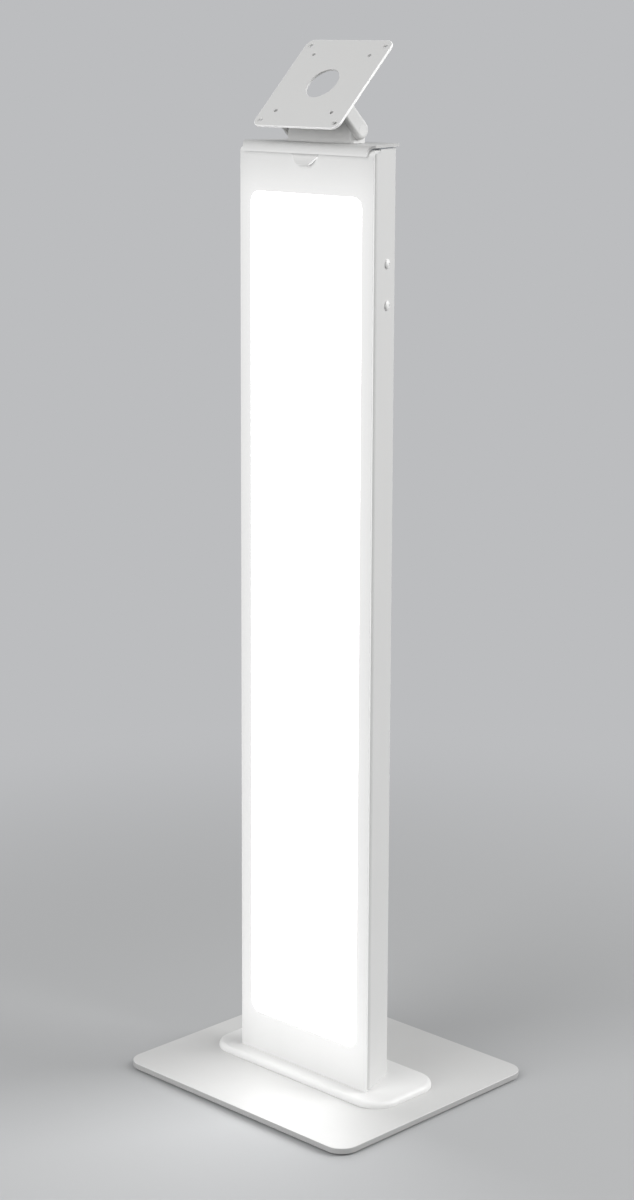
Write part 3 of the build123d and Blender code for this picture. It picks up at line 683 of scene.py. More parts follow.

# A painted glow stands in for the window's light around it: bright beside the window, almost
# gone at window_glow_reach from it. The glow follows the distance from the window's rounded
# outline.
painted_glow_coat = powder_coat("satin_white_powder_coat_painted_glow", coat_pale, coat_shade)
tree = painted_glow_coat.node_tree
coords = add_node(tree, "ShaderNodeTexCoord")
from_window = add_node(
    tree,
    "ShaderNodeVectorMath",
    {0: coords.outputs["Object"], 1: (0, panel_low.y, window_middle_z)},
    operation="SUBTRACT",
)
spread = add_node(
    tree, "ShaderNodeVectorMath", {0: from_window.outputs["Vector"]}, operation="ABSOLUTE"
)
half_window = (window_width / 2 - window_corner, 1, window_height / 2 - window_corner)
outside = add_node(
    tree,
    "ShaderNodeVectorMath",
    {0: spread.outputs["Vector"], 1: half_window},
    operation="SUBTRACT",
)
clipped = add_node(
    tree,
    "ShaderNodeVectorMath",
    {0: outside.outputs["Vector"], 1: (0, 0, 0)},
    operation="MAXIMUM",
)
reach = add_node(
    tree, "ShaderNodeVectorMath", {0: clipped.outputs["Vector"]}, operation="LENGTH"
)
window_glow_reach = 60 * mm
window_glow_strength = 0.31
window_glow_rest = 0.03
window_glow = add_node(
    tree,
    "ShaderNodeMapRange",
    {
        "Value": reach.outputs["Value"],
        "From Min": window_corner,
        "From Max": window_corner + window_glow_reach,
        "To Min": window_glow_strength,
        "To Max": window_glow_rest,
    },
)
add_glow(painted_glow_coat, window_glow.outputs["Result"])

panel_outer = [(panel_low.y, panel_low.z)]
for inset, drop in edge_arc(panel_bend, steps=12):
    panel_outer.append((panel_low.y + inset, panel_high.z - drop))
panel_outer.append((panel_high.y, panel_high.z))
panel_inner = offset_path(panel_outer, -panel_thickness)
panel_plate = bent_strip(
    "panel_plate",
    panel_outer,
    panel_inner,
    [wall_half(y) for y, z in panel_outer],
    [wall_half(y) for y, z in panel_inner],
)
panel_plate.data.materials.append(painted_glow_coat)
window_outline = rounded_rectangle(window_width, window_height, window_corner)
window_rings = [
    [(x, y, z + window_middle_z) for x, z in window_outline]
    for y in (panel_back_y + spare, panel_low.y - spare)
]
cut(panel_plate, stack_rings("window", window_rings))
break_edges(panel_plate, panel_edge, segments=3)
smooth_faces(panel_plate)
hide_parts("front_panel")
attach(panel_plate, "panel")


# Light diffuser
# Opal acrylic sheet, 3 mm thick, set flush into the window from behind. The strips behind it
# make it an even white light, so no chip shows through.
def sheet_with_holes(name, outline, holes, thickness, edge, place):
    """Flat sheet with rounded edges, drawn in its own plane and then put in place."""
    weld_gap = 0.001 * mm
    curve = bpy.data.curves.new(name, "CURVE")
    curve.dimensions = "2D"
    curve.fill_mode = "BOTH"
    for points in (outline, *holes):
        spline = curve.splines.new("POLY")
        spline.points.add(len(points) - 1)
        for spot, (x, y) in zip(spline.points, points):
            spot.co = (x, y, 0, 1)
        spline.use_cyclic_u = True
    curve.extrude = thickness / 2 - edge
    curve.bevel_depth = edge
    curve.bevel_resolution = 2
    curve.offset = -edge
    drawn = bpy.data.objects.new(name, curve)
    bpy.context.scene.collection.objects.link(drawn)
    graph = bpy.context.evaluated_depsgraph_get()
    mesh = bpy.data.meshes.new_from_object(drawn.evaluated_get(graph), depsgraph=graph)
    bpy.data.objects.remove(drawn)
    piece = bpy.data.objects.new(name, mesh)
    bpy.context.scene.collection.objects.link(piece)
    turn_faces_out(piece, place, weld_gap)
    return piece


def upright(y, z):
    """Drawing plane that faces the front, with its origin at a depth and height."""
    return Matrix.Translation((0, y, z)) @ Matrix.Rotation(math.pi / 2, 4, "X")


# Opal acrylic scatters the strips' light, so the window is one white field without a bright
# spot, and only a slow change of a few per cent is left in it.
light_patch = 120 * mm
dimmest = 3.1
brightest = 3.4
opal, tree, output = new_material("opal_acrylic_lit")
coords = add_node(tree, "ShaderNodeTexCoord")
cloud = add_node(
    tree, "ShaderNodeTexNoise", {"Vector": coords.outputs["Object"], "Scale": 1 / light_patch}
)
light = add_node(
    tree,
    "ShaderNodeMapRange",
    {"Value": cloud.outputs["Fac"], "To Min": dimmest, "To Max": brightest},
)
shader = add_node(
    tree,
    "ShaderNodeBsdfPrincipled",
    {
        "Base Color": colour("#F2F2F2"),
        "Roughness": 0.35,
        "IOR": 1.49,
        "Emission Color": white_light,
        "Emission Strength": light.outputs["Result"],
    },
)
tree.links.new(shader.outputs["BSDF"], output.inputs["Surface"])

diffuser_gap = 0.15 * mm
diffuser_edge = 0.2 * mm
diffuser_outline = rounded_rectangle(
    window_width - 2 * diffuser_gap, window_height - 2 * diffuser_gap, window_corner - diffuser_gap
)
diffuser_sheet = sheet_with_holes(
    "diffuser_sheet",
    diffuser_outline,
    [],
    panel_thickness,
    diffuser_edge,
    upright((glass_low.y + glass_high.y) / 2, window_middle_z),
)
diffuser_sheet.data.materials.append(opal)
smooth_faces(diffuser_sheet)
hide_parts("light_diffuser")
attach(diffuser_sheet, "panel")

# Pull tab
# Small moulded tongue of white plastic let into the panel's top edge under the cap's lip. It
# lies flush there and flares forward lower down, so a fingertip can lift the panel.
def moulded_plastic(name, pale, shade, roughness, glow=0.0):
    """White plastic from a mould: the spark-eroded mould's grain dulls its highlights and its tone
    is faintly cloudy, and glow is a painted glow on it. The real grain is a few
    hundredths of a millimetre, so it is drawn coarser here."""
    spark_grain = 0.5 * mm
    spark_height = 0.03 * mm
    cloud_patch = 9 * mm
    material, tree, output = new_material(name)
    coords = add_node(tree, "ShaderNodeTexCoord")
    spark = add_node(
        tree, "ShaderNodeTexNoise", {"Vector": coords.outputs["Object"], "Scale": 1 / spark_grain}
    )
    cloud = add_node(
        tree, "ShaderNodeTexNoise", {"Vector": coords.outputs["Object"], "Scale": 1 / cloud_patch}
    )
    tone = add_node(
        tree,
        "ShaderNodeMix",
        {0: cloud.outputs["Fac"], 6: colour(pale), 7: colour(shade)},
        data_type="RGBA",
    )
    relief = add_node(
        tree,
        "ShaderNodeBump",
        {"Height": spark.outputs["Fac"], "Strength": 0.1, "Distance": spark_height},
    )
    shader = add_node(
        tree,
        "ShaderNodeBsdfPrincipled",
        {
            "Base Color": tone.outputs[2],
            "Roughness": roughness,
            "Normal": relief.outputs["Normal"],
            "IOR": 1.53,
            "Emission Color": white_light,
            "Emission Strength": glow,
        },
    )
    tree.links.new(shader.outputs["BSDF"], output.inputs["Surface"])
    return material


# The tongue's face has a faint painted glow, so it is as pale as the panel. Its thin polished rim
# is painted whiter with a strong glow, a painted highlight, so it reads as a bright line.
plastic_pale = "#E2E2E1"
plastic_shade = "#DEDEDD"
plastic_roughness = 0.34
painted_highlight_white = "#FAFAF9"
painted_highlight_grey = "#F6F6F5"
painted_glow_plastic = moulded_plastic(
    "white_plastic_painted_glow", plastic_pale, plastic_shade, plastic_roughness, glow=0.03
)
rim_highlight_plastic = moulded_plastic(
    "white_plastic_painted_rim_highlight", painted_highlight_white, painted_highlight_grey, roughness=0.22, glow=0.5
)

tab_low, tab_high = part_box("pull_tab")
cap_low, cap_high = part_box("top_cap")
lip_bottom = cap_low.z
tab_top_half = 19.1 * mm
tab_bottom_half = 8.5 * mm
tab_corner_height = 4 * mm
tab_corner_width = 2.2 * mm
tab_thickness = 2 * mm
tab_edge = 0.75 * mm
tab_proud = 0.12 * mm
flank = (tab_top_half - tab_bottom_half) / (lip_bottom - tab_low.z)
flat_part = 2.3 * mm

# The flare is one arc. It leaves the panel's face at flare_start, turns down as it comes forward
# and ends at the tab's lower front edge.
flare_top = lip_bottom - flat_part
flare_drop = flare_top - tab_low.z
flare_reach = panel_low.y - tab_proud - tab_low.y
flare_start = math.radians(45)
flare_turn = 2 * (flare_start - math.atan2(flare_reach, flare_drop))
flare_radius = math.hypot(flare_reach, flare_drop) / 2 / math.sin(flare_turn / 2)
flare_steps = 24

tab_outer = [(panel_low.y - tab_proud, tab_high.z)]
for step in range(flare_steps + 1):
    lean = flare_start - flare_turn * step / flare_steps
    y = panel_low.y - tab_proud - flare_radius * (math.cos(lean) - math.cos(flare_start))
    tab_outer.append((y, flare_top - flare_radius * (math.sin(flare_start) - math.sin(lean))))
tab_half_widths = []
for y, z in tab_outer:
    above_corner = min((z - tab_low.z) / tab_corner_height, 1)
    corner_inset = tab_corner_width * (1 - math.sqrt(1 - (1 - above_corner) ** 2))
    tab_half_widths.append(tab_bottom_half + (z - tab_low.z) * flank - corner_inset)
tab_inner = [(y, max(z, tab_low.z)) for y, z in offset_path(tab_outer, tab_thickness)]
pull_tongue = bent_strip("pull_tongue", tab_outer, tab_inner, tab_half_widths)
pull_tongue.data.materials.append(painted_glow_plastic)
pull_tongue.data.materials.append(rim_highlight_plastic)
flank_normal_x = 0.2
bottom_normal_z = -0.8
for face in pull_tongue.data.polygons:
    if abs(face.normal.x) > flank_normal_x or face.normal.z < bottom_normal_z:
        face.material_index = 1
break_edges(pull_tongue, tab_edge, segments=5)
smooth_faces(pull_tongue)
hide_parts("pull_tab")
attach(pull_tongue, "panel")

# Cap
# Steel sheet of 2.5 mm over the column, bent down at the front as a lip over the panel's top
# edge, powder coated. It is a little wider than the column behind and narrower at the lip.
cap_sheet = 2.5 * mm
cap_bend = 7.5 * mm
cap_rear_half = 74.7 * mm
cap_bend_half = 88.5 * mm
cap_lip_half = 83.5 * mm
cap_corner = 3 * mm
cap_edge = 0.35 * mm
lip_corner = 0.8 * mm

# The profile runs up the lip, over the bend and back, with the cap's half width at each point.
# The lip's lower corners and the rear corners are round in that width.
cap_outer = []
cap_half_widths = []
for rise, inset in edge_arc(lip_corner):
    cap_outer.append((cap_low.y, lip_bottom + rise))
    cap_half_widths.append(cap_lip_half - inset)
for back, drop in edge_arc(cap_bend, steps=14):
    cap_outer.append((cap_low.y + back, cap_high.z - drop))
    cap_half_widths.append(cap_lip_half + (cap_bend_half - cap_lip_half) * back / cap_bend)
cap_flat = cap_high.y - cap_low.y - cap_bend
for inset, ahead in edge_arc(cap_corner):
    cap_outer.append((cap_high.y - ahead, cap_high.z))
    share = 1 - ahead / cap_flat
    half = cap_bend_half + (cap_rear_half - cap_bend_half) * share
    cap_half_widths.append(half - inset)
cap_inner = offset_path(cap_outer, -cap_sheet)
cap_cover = bent_strip("cap_cover", cap_outer, cap_inner, cap_half_widths)

# The coat is painted a little greyer than the column's as shade, for the dimmer light that falls on
# the cap from above. A painted glow stands in for the window's light on the lip: it is strongest at
# the lower edge and is gone glow_height above it.
painted_lip_glow = 0.29
glow_height = 9 * mm
cap_shade_and_glow_coat = powder_coat("satin_white_powder_coat_cap_painted_shade_and_glow", "#CBCBCA", "#C8C8C7")
tree = cap_shade_and_glow_coat.node_tree
coords = add_node(tree, "ShaderNodeTexCoord")
place = add_node(tree, "ShaderNodeSeparateXYZ", {0: coords.outputs["Object"]})
lip_glow_fade = add_node(
    tree,
    "ShaderNodeMapRange",
    {
        "Value": place.outputs["Z"],
        "From Min": lip_bottom,
        "From Max": lip_bottom + glow_height,
        "To Min": painted_lip_glow,
        "To Max": 0.0,
    },
)
add_glow(cap_shade_and_glow_coat, lip_glow_fade.outputs["Result"])
cap_cover.data.materials.append(cap_shade_and_glow_coat)

ring_low, ring_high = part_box("cap_grommet")
ring_middle = (ring_low + ring_high) / 2
cable_hole_radius = 7 * mm
cap_drill_reach = 12 * mm
cut(cap_cover, round_cutter(ring_middle, (0, 0, 1), cable_hole_radius, cap_drill_reach))
break_edges(cap_cover, cap_edge)
smooth_faces(cap_cover)
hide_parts("top_cap")
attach(cap_cover, "stand")

# Tilt base
# Folded 3 mm bracket on the cap: a floor, a front web and two upright ears with round tops
# that carry the pivot bolts. It is coated like the rest and screwed down through the cap.
bracket_low, bracket_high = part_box("tilt_base")
bracket_sheet = 3 * mm
bracket_edge = 0.35 * mm
bracket_half = bracket_high.x
web_height = 21 * mm
web_top = bracket_low.z + web_height
pivot = Vector(next(joint["pos_m"] for joint in frame["joints"] if joint["name"] == "tilt"))
ear_radius = 9.2 * mm
ear_bend = 3.4 * mm
ear_steps = 8


def ear_top(point):
    """Top of the bracket's fold: level along the web, round over the pivot."""
    back = min(max(point.y - pivot.y, 0), ear_radius)
    blend_in = min(max((point.y - bracket_low.y) / (pivot.y - bracket_low.y), 0), 1)
    ear_high = web_top + (pivot.z + ear_radius - web_top) * blend_in
    return ear_high - ear_radius + math.sqrt(ear_radius ** 2 - back ** 2)


# The fold runs from one ear's rear end round the web to the other's. Its points lie closer
# together past the pivot, where the ear's top is round.
ear_angles = [math.pi / 2 * step / ear_steps for step in range(ear_steps + 1)]
ear_marks = [pivot.y + ear_radius * math.cos(angle) for angle in ear_angles]
bracket_path = round_path(
    [
        (bracket_half, ear_marks[-1]),
        (bracket_half, bracket_low.y),
        (-bracket_half, bracket_low.y),
        (-bracket_half, ear_marks[-1]),
    ],
    [ear_bend, ear_bend],
)
bracket_path = (
    [Vector((bracket_half, y)) for y in ear_marks[:-1]]
    + bracket_path
    + [Vector((-bracket_half, y)) for y in reversed(ear_marks[:-1])]
)
bracket_path.reverse()
bracket_fold = folded_sheet(
    "bracket_fold", bracket_path, bracket_sheet, bracket_low.z, ear_top
)
bracket_fold.data.materials.append(coat)
bolt_bore = 3.05 * mm
bolt_drill_reach = 60 * mm
cut(bracket_fold, round_cutter(pivot, (1, 0, 0), bolt_bore, bolt_drill_reach))
break_edges(bracket_fold, bracket_edge)
smooth_faces(bracket_fold)
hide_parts("tilt_base")
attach(bracket_fold, "stand")

floor_front_y = bracket_low.y + bracket_sheet
floor_corner = 0.5 * mm
floor_edge = 0.3 * mm
floor_outline = rounded_rectangle(
    2 * (bracket_half - bracket_sheet), bracket_high.y - floor_front_y, floor_corner, steps=3
)
floor_place = Matrix.Translation(
    (0, (bracket_high.y + floor_front_y) / 2, bracket_low.z + bracket_sheet / 2)
)
cable_hole = ring_of_points(0, 0, cable_hole_radius)
bracket_floor = sheet_with_holes(
    "bracket_floor", floor_outline, [cable_hole], bracket_sheet, floor_edge, floor_place
)
bracket_floor.data.materials.append(coat)
smooth_faces(bracket_floor)
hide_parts("tilt_base")
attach(bracket_floor, "stand")

# Yoke
# Cast aluminium yoke, painted white: two arms with generously rounded outer edges run from
# the pivots to the screen plate's back, where a flat bridge joins them.

# At rest the plate faces forward and up at 45 degrees. The head's slope runs up along the
# plate and its normal points out of the plate's front.
head_turn = math.radians(45)
head_normal = Vector((0, -math.sin(head_turn), math.cos(head_turn)))
head_slope = Vector((0, math.cos(head_turn), math.sin(head_turn)))
head_place = Matrix(
    (
        (1, head_slope.x, head_normal.x, pivot.x),
        (0, head_slope.y, head_normal.y, pivot.y),
        (0, head_slope.z, head_normal.z, pivot.z),
        (0, 0, 0, 1),
    )
)
arm_inner = 44.3 * mm
arm_outer = 50 * mm
arm_radius = 9.3 * mm
arm_length = 31.8 * mm
arm_edge = 4 * mm
arm_inner_edge = 0.5 * mm
arm_steps = 20
plug_low, plug_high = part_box("pivot_plugs")
plug_radius = (plug_high.z - plug_low.z) / 2
plug_depth = 1.2 * mm


def arm_outline(inset):
    """Arm outline in the head's slope and normal: a round end at the pivot and an open end."""
    radius = arm_radius - inset
    outline = [(radius, arm_length)]
    for step in range(arm_steps + 1):
        angle = -math.pi * step / arm_steps
        outline.append((radius * math.cos(angle), radius * math.sin(angle)))
    outline.append((-radius, arm_length))
    return outline


# The paint follows the casting's skin, so its peel is coarser than on sheet.
cast_white = powder_coat("painted_cast_aluminium", coat_pale, coat_shade, grain=1.8)
bore_reach = 2 * mm
for side, side_name in ((-1, "left"), (1, "right")):
    rings = []
    for inset, drop in reversed(edge_arc(arm_inner_edge, steps=3)):
        rings.append([(side * (arm_inner + drop), a, b) for a, b in arm_outline(inset)])
    for inset, drop in edge_arc(arm_edge, steps=10):
        rings.append([(side * (arm_outer - drop), a, b) for a, b in arm_outline(inset)])
    arm = stack_rings("yoke_arm_" + side_name, rings)
    turn_faces_out(arm, head_place)
    arm.data.materials.append(cast_white)
    bore_middle = Vector((side * (arm_outer - plug_depth + bore_reach), pivot.y, pivot.z))
    cut(arm, round_cutter(bore_middle, (1, 0, 0), plug_radius, bore_reach))
    smooth_faces(arm)
    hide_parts("tilt_yoke")
    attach(arm, "head")

bridge_thickness = 3 * mm
bridge_low = -5.7 * mm
bridge_high = 7.8 * mm
bridge_corner = 0.5 * mm
bridge_edge = 0.4 * mm
bridge_outline = rounded_rectangle(
    2 * arm_inner, bridge_high - bridge_low, bridge_corner, steps=3
)
bridge_place = head_place @ Matrix.Translation(
    (0, (bridge_high + bridge_low) / 2, arm_length - bridge_thickness / 2)
)
yoke_bridge = sheet_with_holes(
    "yoke_bridge", bridge_outline, [], bridge_thickness, bridge_edge, bridge_place
)
yoke_bridge.data.materials.append(cast_white)
smooth_faces(yoke_bridge)
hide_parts("tilt_yoke")
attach(yoke_bridge, "head")

# Pivot plugs
# Small round covers, moulded in white plastic. They snap into the arms' bores over the pivot
# bolts and lie flush there, with a hairline round them.
white_plastic = moulded_plastic(
    "moulded_white_plastic", plastic_pale, plastic_shade, plastic_roughness
)
plug_gap = 0.06 * mm
plug_edge = 0.15 * mm
for side, side_name in ((-1, "left"), (1, "right")):
    rings = []
    for inset, drop in ((0, plug_depth), *edge_arc(plug_edge, steps=3)):
        radius = plug_radius - plug_gap - inset
        rings.append(
            [
                (side * (arm_outer - drop), pivot.y + y, pivot.z + z)
                for y, z in ring_of_points(0, 0, radius, steps=64)
            ]
        )
    plug = stack_rings("pivot_plug_" + side_name, rings)
    turn_faces_out(plug)
    plug.data.materials.append(white_plastic)
    smooth_faces(plug)
    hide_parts("pivot_plugs")
    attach(plug, "head")

# Screen plate
# Square 2.5 mm steel plate, laser cut, with a countersunk corner hole for each outer screw,
# a smaller hole for each inner one and a wide cable hole, then powder coated.
plate_size = 115 * mm
plate_thickness = 2.5 * mm
plate_corner = 9 * mm
plate_edge = 0.45 * mm
plate_rise = 27.8 * mm
outer_spacing = 100 * mm
outer_hole = 2.25 * mm
outer_sink = 3.25 * mm
inner_spacing = 75 * mm
inner_hole = 2 * mm
plate_cable_hole = 18.5 * mm
plate_place = head_place @ Matrix.Translation((0, plate_rise, arm_length + plate_thickness / 2))
plate_holes = [ring_of_points(0, 0, plate_cable_hole, steps=96)]
for side_x, side_y in corner_signs:
    for spacing, radius in ((inner_spacing, inner_hole), (outer_spacing, outer_hole)):
        plate_holes.append(
            ring_of_points(side_x * spacing / 2, side_y * spacing / 2, radius, steps=32)
        )
screen_sheet = sheet_with_holes(
    "screen_sheet",
    rounded_rectangle(plate_size, plate_size, plate_corner),
    plate_holes,
    plate_thickness,
    plate_edge,
    plate_place,
)
screen_sheet.data.materials.append(coat)

# The plate's rim is painted a lighter white as a painted highlight, so it reads as a lighter line.
# A low painted glow stands in for the window's light on it, so that its lower edge is bright too.
painted_rim_glow = 0.16
rim_highlight_coat = powder_coat("white_coat_painted_edge_highlight", painted_highlight_white, painted_highlight_grey)
add_glow(rim_highlight_coat, painted_rim_glow)
screen_sheet.data.materials.append(rim_highlight_coat)

sink_depth = outer_sink - outer_hole
under_sink = 0.2 * mm
over_sink = 0.4 * mm
cone_ends = (
    (-sink_depth - under_sink, outer_hole - under_sink),
    (over_sink, outer_sink + over_sink),
)
for side_x, side_y in corner_signs:
    cone = []
    for height, radius in cone_ends:
        circle = ring_of_points(
            side_x * outer_spacing / 2, side_y * outer_spacing / 2, radius, steps=32
        )
        level = plate_thickness / 2 + height
        cone.append([plate_place @ Vector((x, y, level)) for x, y in circle])
    cut(screen_sheet, stack_rings("countersink", cone))
corner_middle = plate_size / 2 - plate_corner
for face in screen_sheet.data.polygons:
    spot = plate_place.inverted() @ face.center
    past_corner = Vector((max(abs(spot.x) - corner_middle, 0), max(abs(spot.y) - corner_middle, 0)))
    if past_corner.length > plate_corner - plate_edge:
        face.material_index = 1
smooth_faces(screen_sheet)
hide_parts("screen_plate")
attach(screen_sheet, "head")

# Side screws and bracket screws
# Button head machine screws with a hexagon socket. The two on each side wall hold the head
# carrier and are painted white, the four on the bracket's floor are bright zinc.
tree, group_in, group_out = new_tree(
    "button_head_screws",
    [
        ("Head Radius", "NodeSocketFloat"),
        ("Head Height", "NodeSocketFloat"),
        ("Socket Across", "NodeSocketFloat"),
        ("Socket Depth", "NodeSocketFloat"),
        ("Shank Radius", "NodeSocketFloat"),
        ("Shank Length", "NodeSocketFloat"),
        ("Finish", "NodeSocketMaterial"),
    ],
)
sizes = group_in.outputs
blank = add_node(
    tree,
    "GeometryNodeMeshCylinder",
    {
        "Vertices": 64,
        "Side Segments": 2,
        "Fill Segments": 10,
        "Radius": sizes["Head Radius"],
        "Depth": sizes["Head Height"],
    },
)

# The upper end of a plain cylinder is pulled down into a dome whose rim is rim_share as high
# as its middle, and the lower end is laid flat at zero height.
place = add_node(tree, "GeometryNodeInputPosition")
parts = add_node(tree, "ShaderNodeSeparateXYZ", {0: place.outputs["Position"]})
flat_place = add_node(
    tree, "ShaderNodeCombineXYZ", {"X": parts.outputs["X"], "Y": parts.outputs["Y"]}
)
reach = add_node(
    tree, "ShaderNodeVectorMath", {0: flat_place.outputs["Vector"]}, operation="LENGTH"
)
share = add_node(
    tree,
    "ShaderNodeMath",
    {0: reach.outputs["Value"], 1: sizes["Head Radius"]},
    operation="DIVIDE",
)
squared = add_node(tree, "ShaderNodeMath", {0: share.outputs[0], 1: 2.0}, operation="POWER")
rim_share = 0.4
fall = add_node(
    tree,
    "ShaderNodeMath",
    {0: squared.outputs[0], 1: 1 - rim_share ** 2},
    operation="MULTIPLY",
)
left_over = add_node(tree, "ShaderNodeMath", {0: 1.0, 1: fall.outputs[0]}, operation="SUBTRACT")
dome = add_node(tree, "ShaderNodeMath", {0: left_over.outputs[0]}, operation="SQRT")
level = add_node(
    tree,
    "ShaderNodeMapRange",
    {"Value": parts.outputs["Z"], "From Min": 0.0, "To Min": 0.0, "To Max": 1.0},
)
half_head = add_node(
    tree, "ShaderNodeMath", {0: sizes["Head Height"], 1: 0.5}, operation="MULTIPLY"
)
tree.links.new(half_head.outputs[0], level.inputs["From Max"])
rise = add_node(
    tree,
    "ShaderNodeMath",
    {0: level.outputs["Result"], 1: sizes["Head Height"]},
    operation="MULTIPLY",
)
crown = add_node(
    tree, "ShaderNodeMath", {0: rise.outputs[0], 1: dome.outputs[0]}, operation="MULTIPLY"
)
new_place = add_node(
    tree,
    "ShaderNodeCombineXYZ",
    {"X": parts.outputs["X"], "Y": parts.outputs["Y"], "Z": crown.outputs[0]},
)
head = add_node(
    tree,
    "GeometryNodeSetPosition",
    {"Geometry": blank.outputs["Mesh"], "Position": new_place.outputs["Vector"]},
)

# A hexagonal key, half sunk into the head's top, is taken out of it as the socket.
corner_per_across = 1 / math.sqrt(3)
socket_radius = add_node(
    tree,
    "ShaderNodeMath",
    {0: sizes["Socket Across"], 1: corner_per_across},
    operation="MULTIPLY",
)
socket_length = add_node(
    tree, "ShaderNodeMath", {0: sizes["Socket Depth"], 1: 2.0}, operation="MULTIPLY"
)
key = add_node(
    tree,
    "GeometryNodeMeshCylinder",
    {"Vertices": 6, "Radius": socket_radius.outputs[0], "Depth": socket_length.outputs[0]},
)
key_lift = add_node(tree, "ShaderNodeCombineXYZ", {"Z": sizes["Head Height"]})
key_up = add_node(
    tree,
    "GeometryNodeTransform",
    {"Geometry": key.outputs["Mesh"], "Translation": key_lift.outputs["Vector"]},
)
socketed = add_node(
    tree,
    "GeometryNodeMeshBoolean",
    {"Mesh 1": head.outputs["Geometry"], "Mesh 2": key_up.outputs["Geometry"]},
    operation="DIFFERENCE",
    solver="EXACT",
)

# The shank hangs below the head, and each screw points along the axis of its point.
shank = add_node(
    tree,
    "GeometryNodeMeshCylinder",
    {"Vertices": 32, "Radius": sizes["Shank Radius"], "Depth": sizes["Shank Length"]},
)
sink = add_node(
    tree, "ShaderNodeMath", {0: sizes["Shank Length"], 1: -0.5}, operation="MULTIPLY"
)
shank_drop = add_node(tree, "ShaderNodeCombineXYZ", {"Z": sink.outputs[0]})
shank_down = add_node(
    tree,
    "GeometryNodeTransform",
    {"Geometry": shank.outputs["Mesh"], "Translation": shank_drop.outputs["Vector"]},
)
screw = add_node(tree, "GeometryNodeJoinGeometry")
tree.links.new(socketed.outputs["Mesh"], screw.inputs["Geometry"])
tree.links.new(shank_down.outputs["Geometry"], screw.inputs["Geometry"])
axis = add_node(
    tree, "GeometryNodeInputNamedAttribute", {"Name": "axis"}, data_type="FLOAT_VECTOR"
)
turn = add_node(
    tree, "FunctionNodeAlignEulerToVector", {"Vector": axis.outputs["Attribute"]}, axis="Z"
)
screws = add_node(
    tree,
    "GeometryNodeInstanceOnPoints",
    {
        "Points": group_in.outputs["Geometry"],
        "Instance": screw.outputs["Geometry"],
        "Rotation": turn.outputs["Rotation"],
    },
)
end_tree(tree, group_out, screws, sizes["Finish"])
screw_tree = tree

# Paint rounds the side screws' sockets shallow. Their heads are painted whiter than the wall as a
# painted highlight, which lifts them out of their shading.
screw_highlight_coat = powder_coat("screw_head_painted_highlight", painted_highlight_white, painted_highlight_grey, grain=0.8)
painted_socket = 0.7 * mm

# Bright zinc mirrors softly and is bluish grey. Its film clouds its gloss here and there.
film_patch = 2.5 * mm
zinc_smoothest = 0.22
zinc_roughest = 0.4
zinc, tree, output = new_material("bright_zinc_plated_steel")
coords = add_node(tree, "ShaderNodeTexCoord")
film = add_node(
    tree, "ShaderNodeTexNoise", {"Vector": coords.outputs["Object"], "Scale": 1 / film_patch}
)
tone = add_node(
    tree,
    "ShaderNodeMix",
    {0: film.outputs["Fac"], 6: colour("#BFC2C6"), 7: colour("#A9ACB1")},
    data_type="RGBA",
)
gloss = add_node(
    tree,
    "ShaderNodeMapRange",
    {"Value": film.outputs["Fac"], "To Min": zinc_smoothest, "To Max": zinc_roughest},
)
shader = add_node(
    tree,
    "ShaderNodeBsdfPrincipled",
    {"Base Color": tone.outputs[2], "Metallic": 1.0, "Roughness": gloss.outputs["Result"]},
)
tree.links.new(shader.outputs["BSDF"], output.inputs["Surface"])

screw_sizes = {
    "Head Radius": 4.75 * mm,
    "Head Height": 2.75 * mm,
    "Socket Across": 3 * mm,
    "Socket Depth": 1.6 * mm,
    "Shank Radius": 2.5 * mm,
}
side_angle = math.atan(side_taper)
side_along = 34.5 * mm
side_shank = 9.5 * mm
side_screw_x = column_front_half - side_along * math.sin(side_angle)
side_screw_y = panel_low.y + side_along * math.cos(side_angle)
screw_low, screw_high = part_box("side_screws")
screw_heights = (
    screw_high.z - screw_sizes["Head Radius"],
    screw_low.z + screw_sizes["Head Radius"],
)
side_points = []
side_axes = []
for side in (-1, 1):
    for z in screw_heights:
        side_points.append((side * side_screw_x, side_screw_y, z))
        side_axes.append((side * math.cos(side_angle), math.sin(side_angle), 0))
side_heads = grow(
    "side_button_heads",
    screw_tree,
    {
        **screw_sizes,
        "Socket Depth": painted_socket,
        "Shank Length": side_shank,
        "Finish": screw_highlight_coat,
    },
    side_points,
    side_axes,
)
smooth_faces(side_heads)
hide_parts("side_screws")
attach(side_heads, "stand")

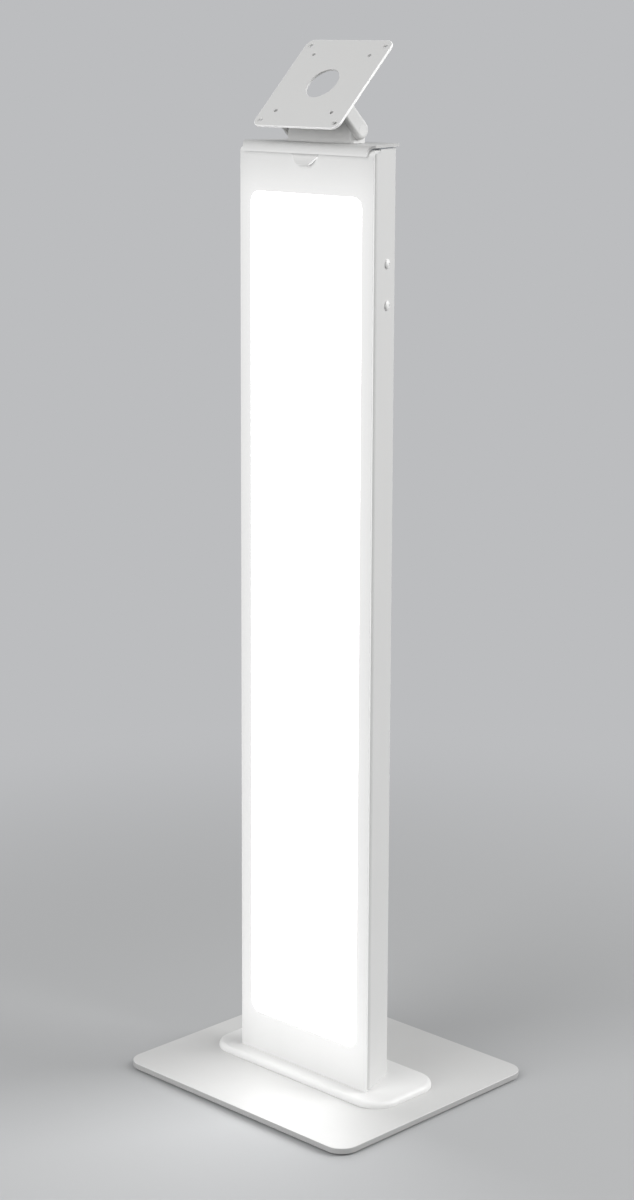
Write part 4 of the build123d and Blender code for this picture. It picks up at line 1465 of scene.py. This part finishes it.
bracket_screw_y = (floor_front_y + bracket_high.y) / 2
bracket_screw_z = bracket_low.z + bracket_sheet
bracket_screw_places = (16 * mm, 28 * mm)
bracket_shank = 13.5 * mm
floor_points = [
    (side * x, bracket_screw_y, bracket_screw_z) for side in (-1, 1) for x in bracket_screw_places
]
floor_heads = grow(
    "bracket_button_heads",
    screw_tree,
    {**screw_sizes, "Shank Length": bracket_shank, "Finish": zinc},
    floor_points,
    [(0, 0, 1)] * len(floor_points),
)
smooth_faces(floor_heads)
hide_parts("bracket_screws")
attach(floor_heads, "stand")

# Pieces of plain stock
# Nuts, bolts, brackets, grommets and the light's inner parts keep their own solids. Steel
# ones are zinc plated, the grommets and washers are rubber, the tray is bright aluminium
# sheet, and the strips and the driver have white plastic skins.

# Rolled aluminium sheet shines softly, with fine lines along its length. They are drawn wider
# than the real ones, which are too fine to show.
line_width = 0.8 * mm
line_length = 60 * mm
tray_smoothest = 0.3
tray_roughest = 0.5
tray_metal, tree, output = new_material("bright_aluminium_sheet")
coords = add_node(tree, "ShaderNodeTexCoord")
drawn_out = add_node(
    tree,
    "ShaderNodeMapping",
    {
        "Vector": coords.outputs["Object"],
        "Scale": (1 / line_width, 1 / line_width, 1 / line_length),
    },
)
grain = add_node(
    tree, "ShaderNodeTexNoise", {"Vector": drawn_out.outputs["Vector"], "Scale": 1.0}
)
gloss = add_node(
    tree,
    "ShaderNodeMapRange",
    {"Value": grain.outputs["Fac"], "To Min": tray_smoothest, "To Max": tray_roughest},
)
shader = add_node(
    tree,
    "ShaderNodeBsdfPrincipled",
    {"Base Color": colour("#DADBDC"), "Metallic": 1.0, "Roughness": gloss.outputs["Result"]},
)
tree.links.new(shader.outputs["BSDF"], output.inputs["Surface"])

plain_stock = {
    zinc: (
        "foot_bracket",
        "foot_screws",
        "foot_nuts",
        "head_carrier",
        "side_nuts",
        "bracket_nuts",
        "plate_studs",
        "stud_nuts",
        "pivot_bolts",
        "disc_springs",
        "pivot_nuts",
        "driver_screws",
    ),
    rubber: ("rear_grommet", "cap_grommet", "friction_washers"),
    tray_metal: ("led_tray",),
    white_plastic: ("led_strips", "led_driver"),
}
for finish, names in plain_stock.items():
    for name in names:
        node = frame["nodes"][name]
        node.data.materials.clear()
        node.data.materials.append(finish)
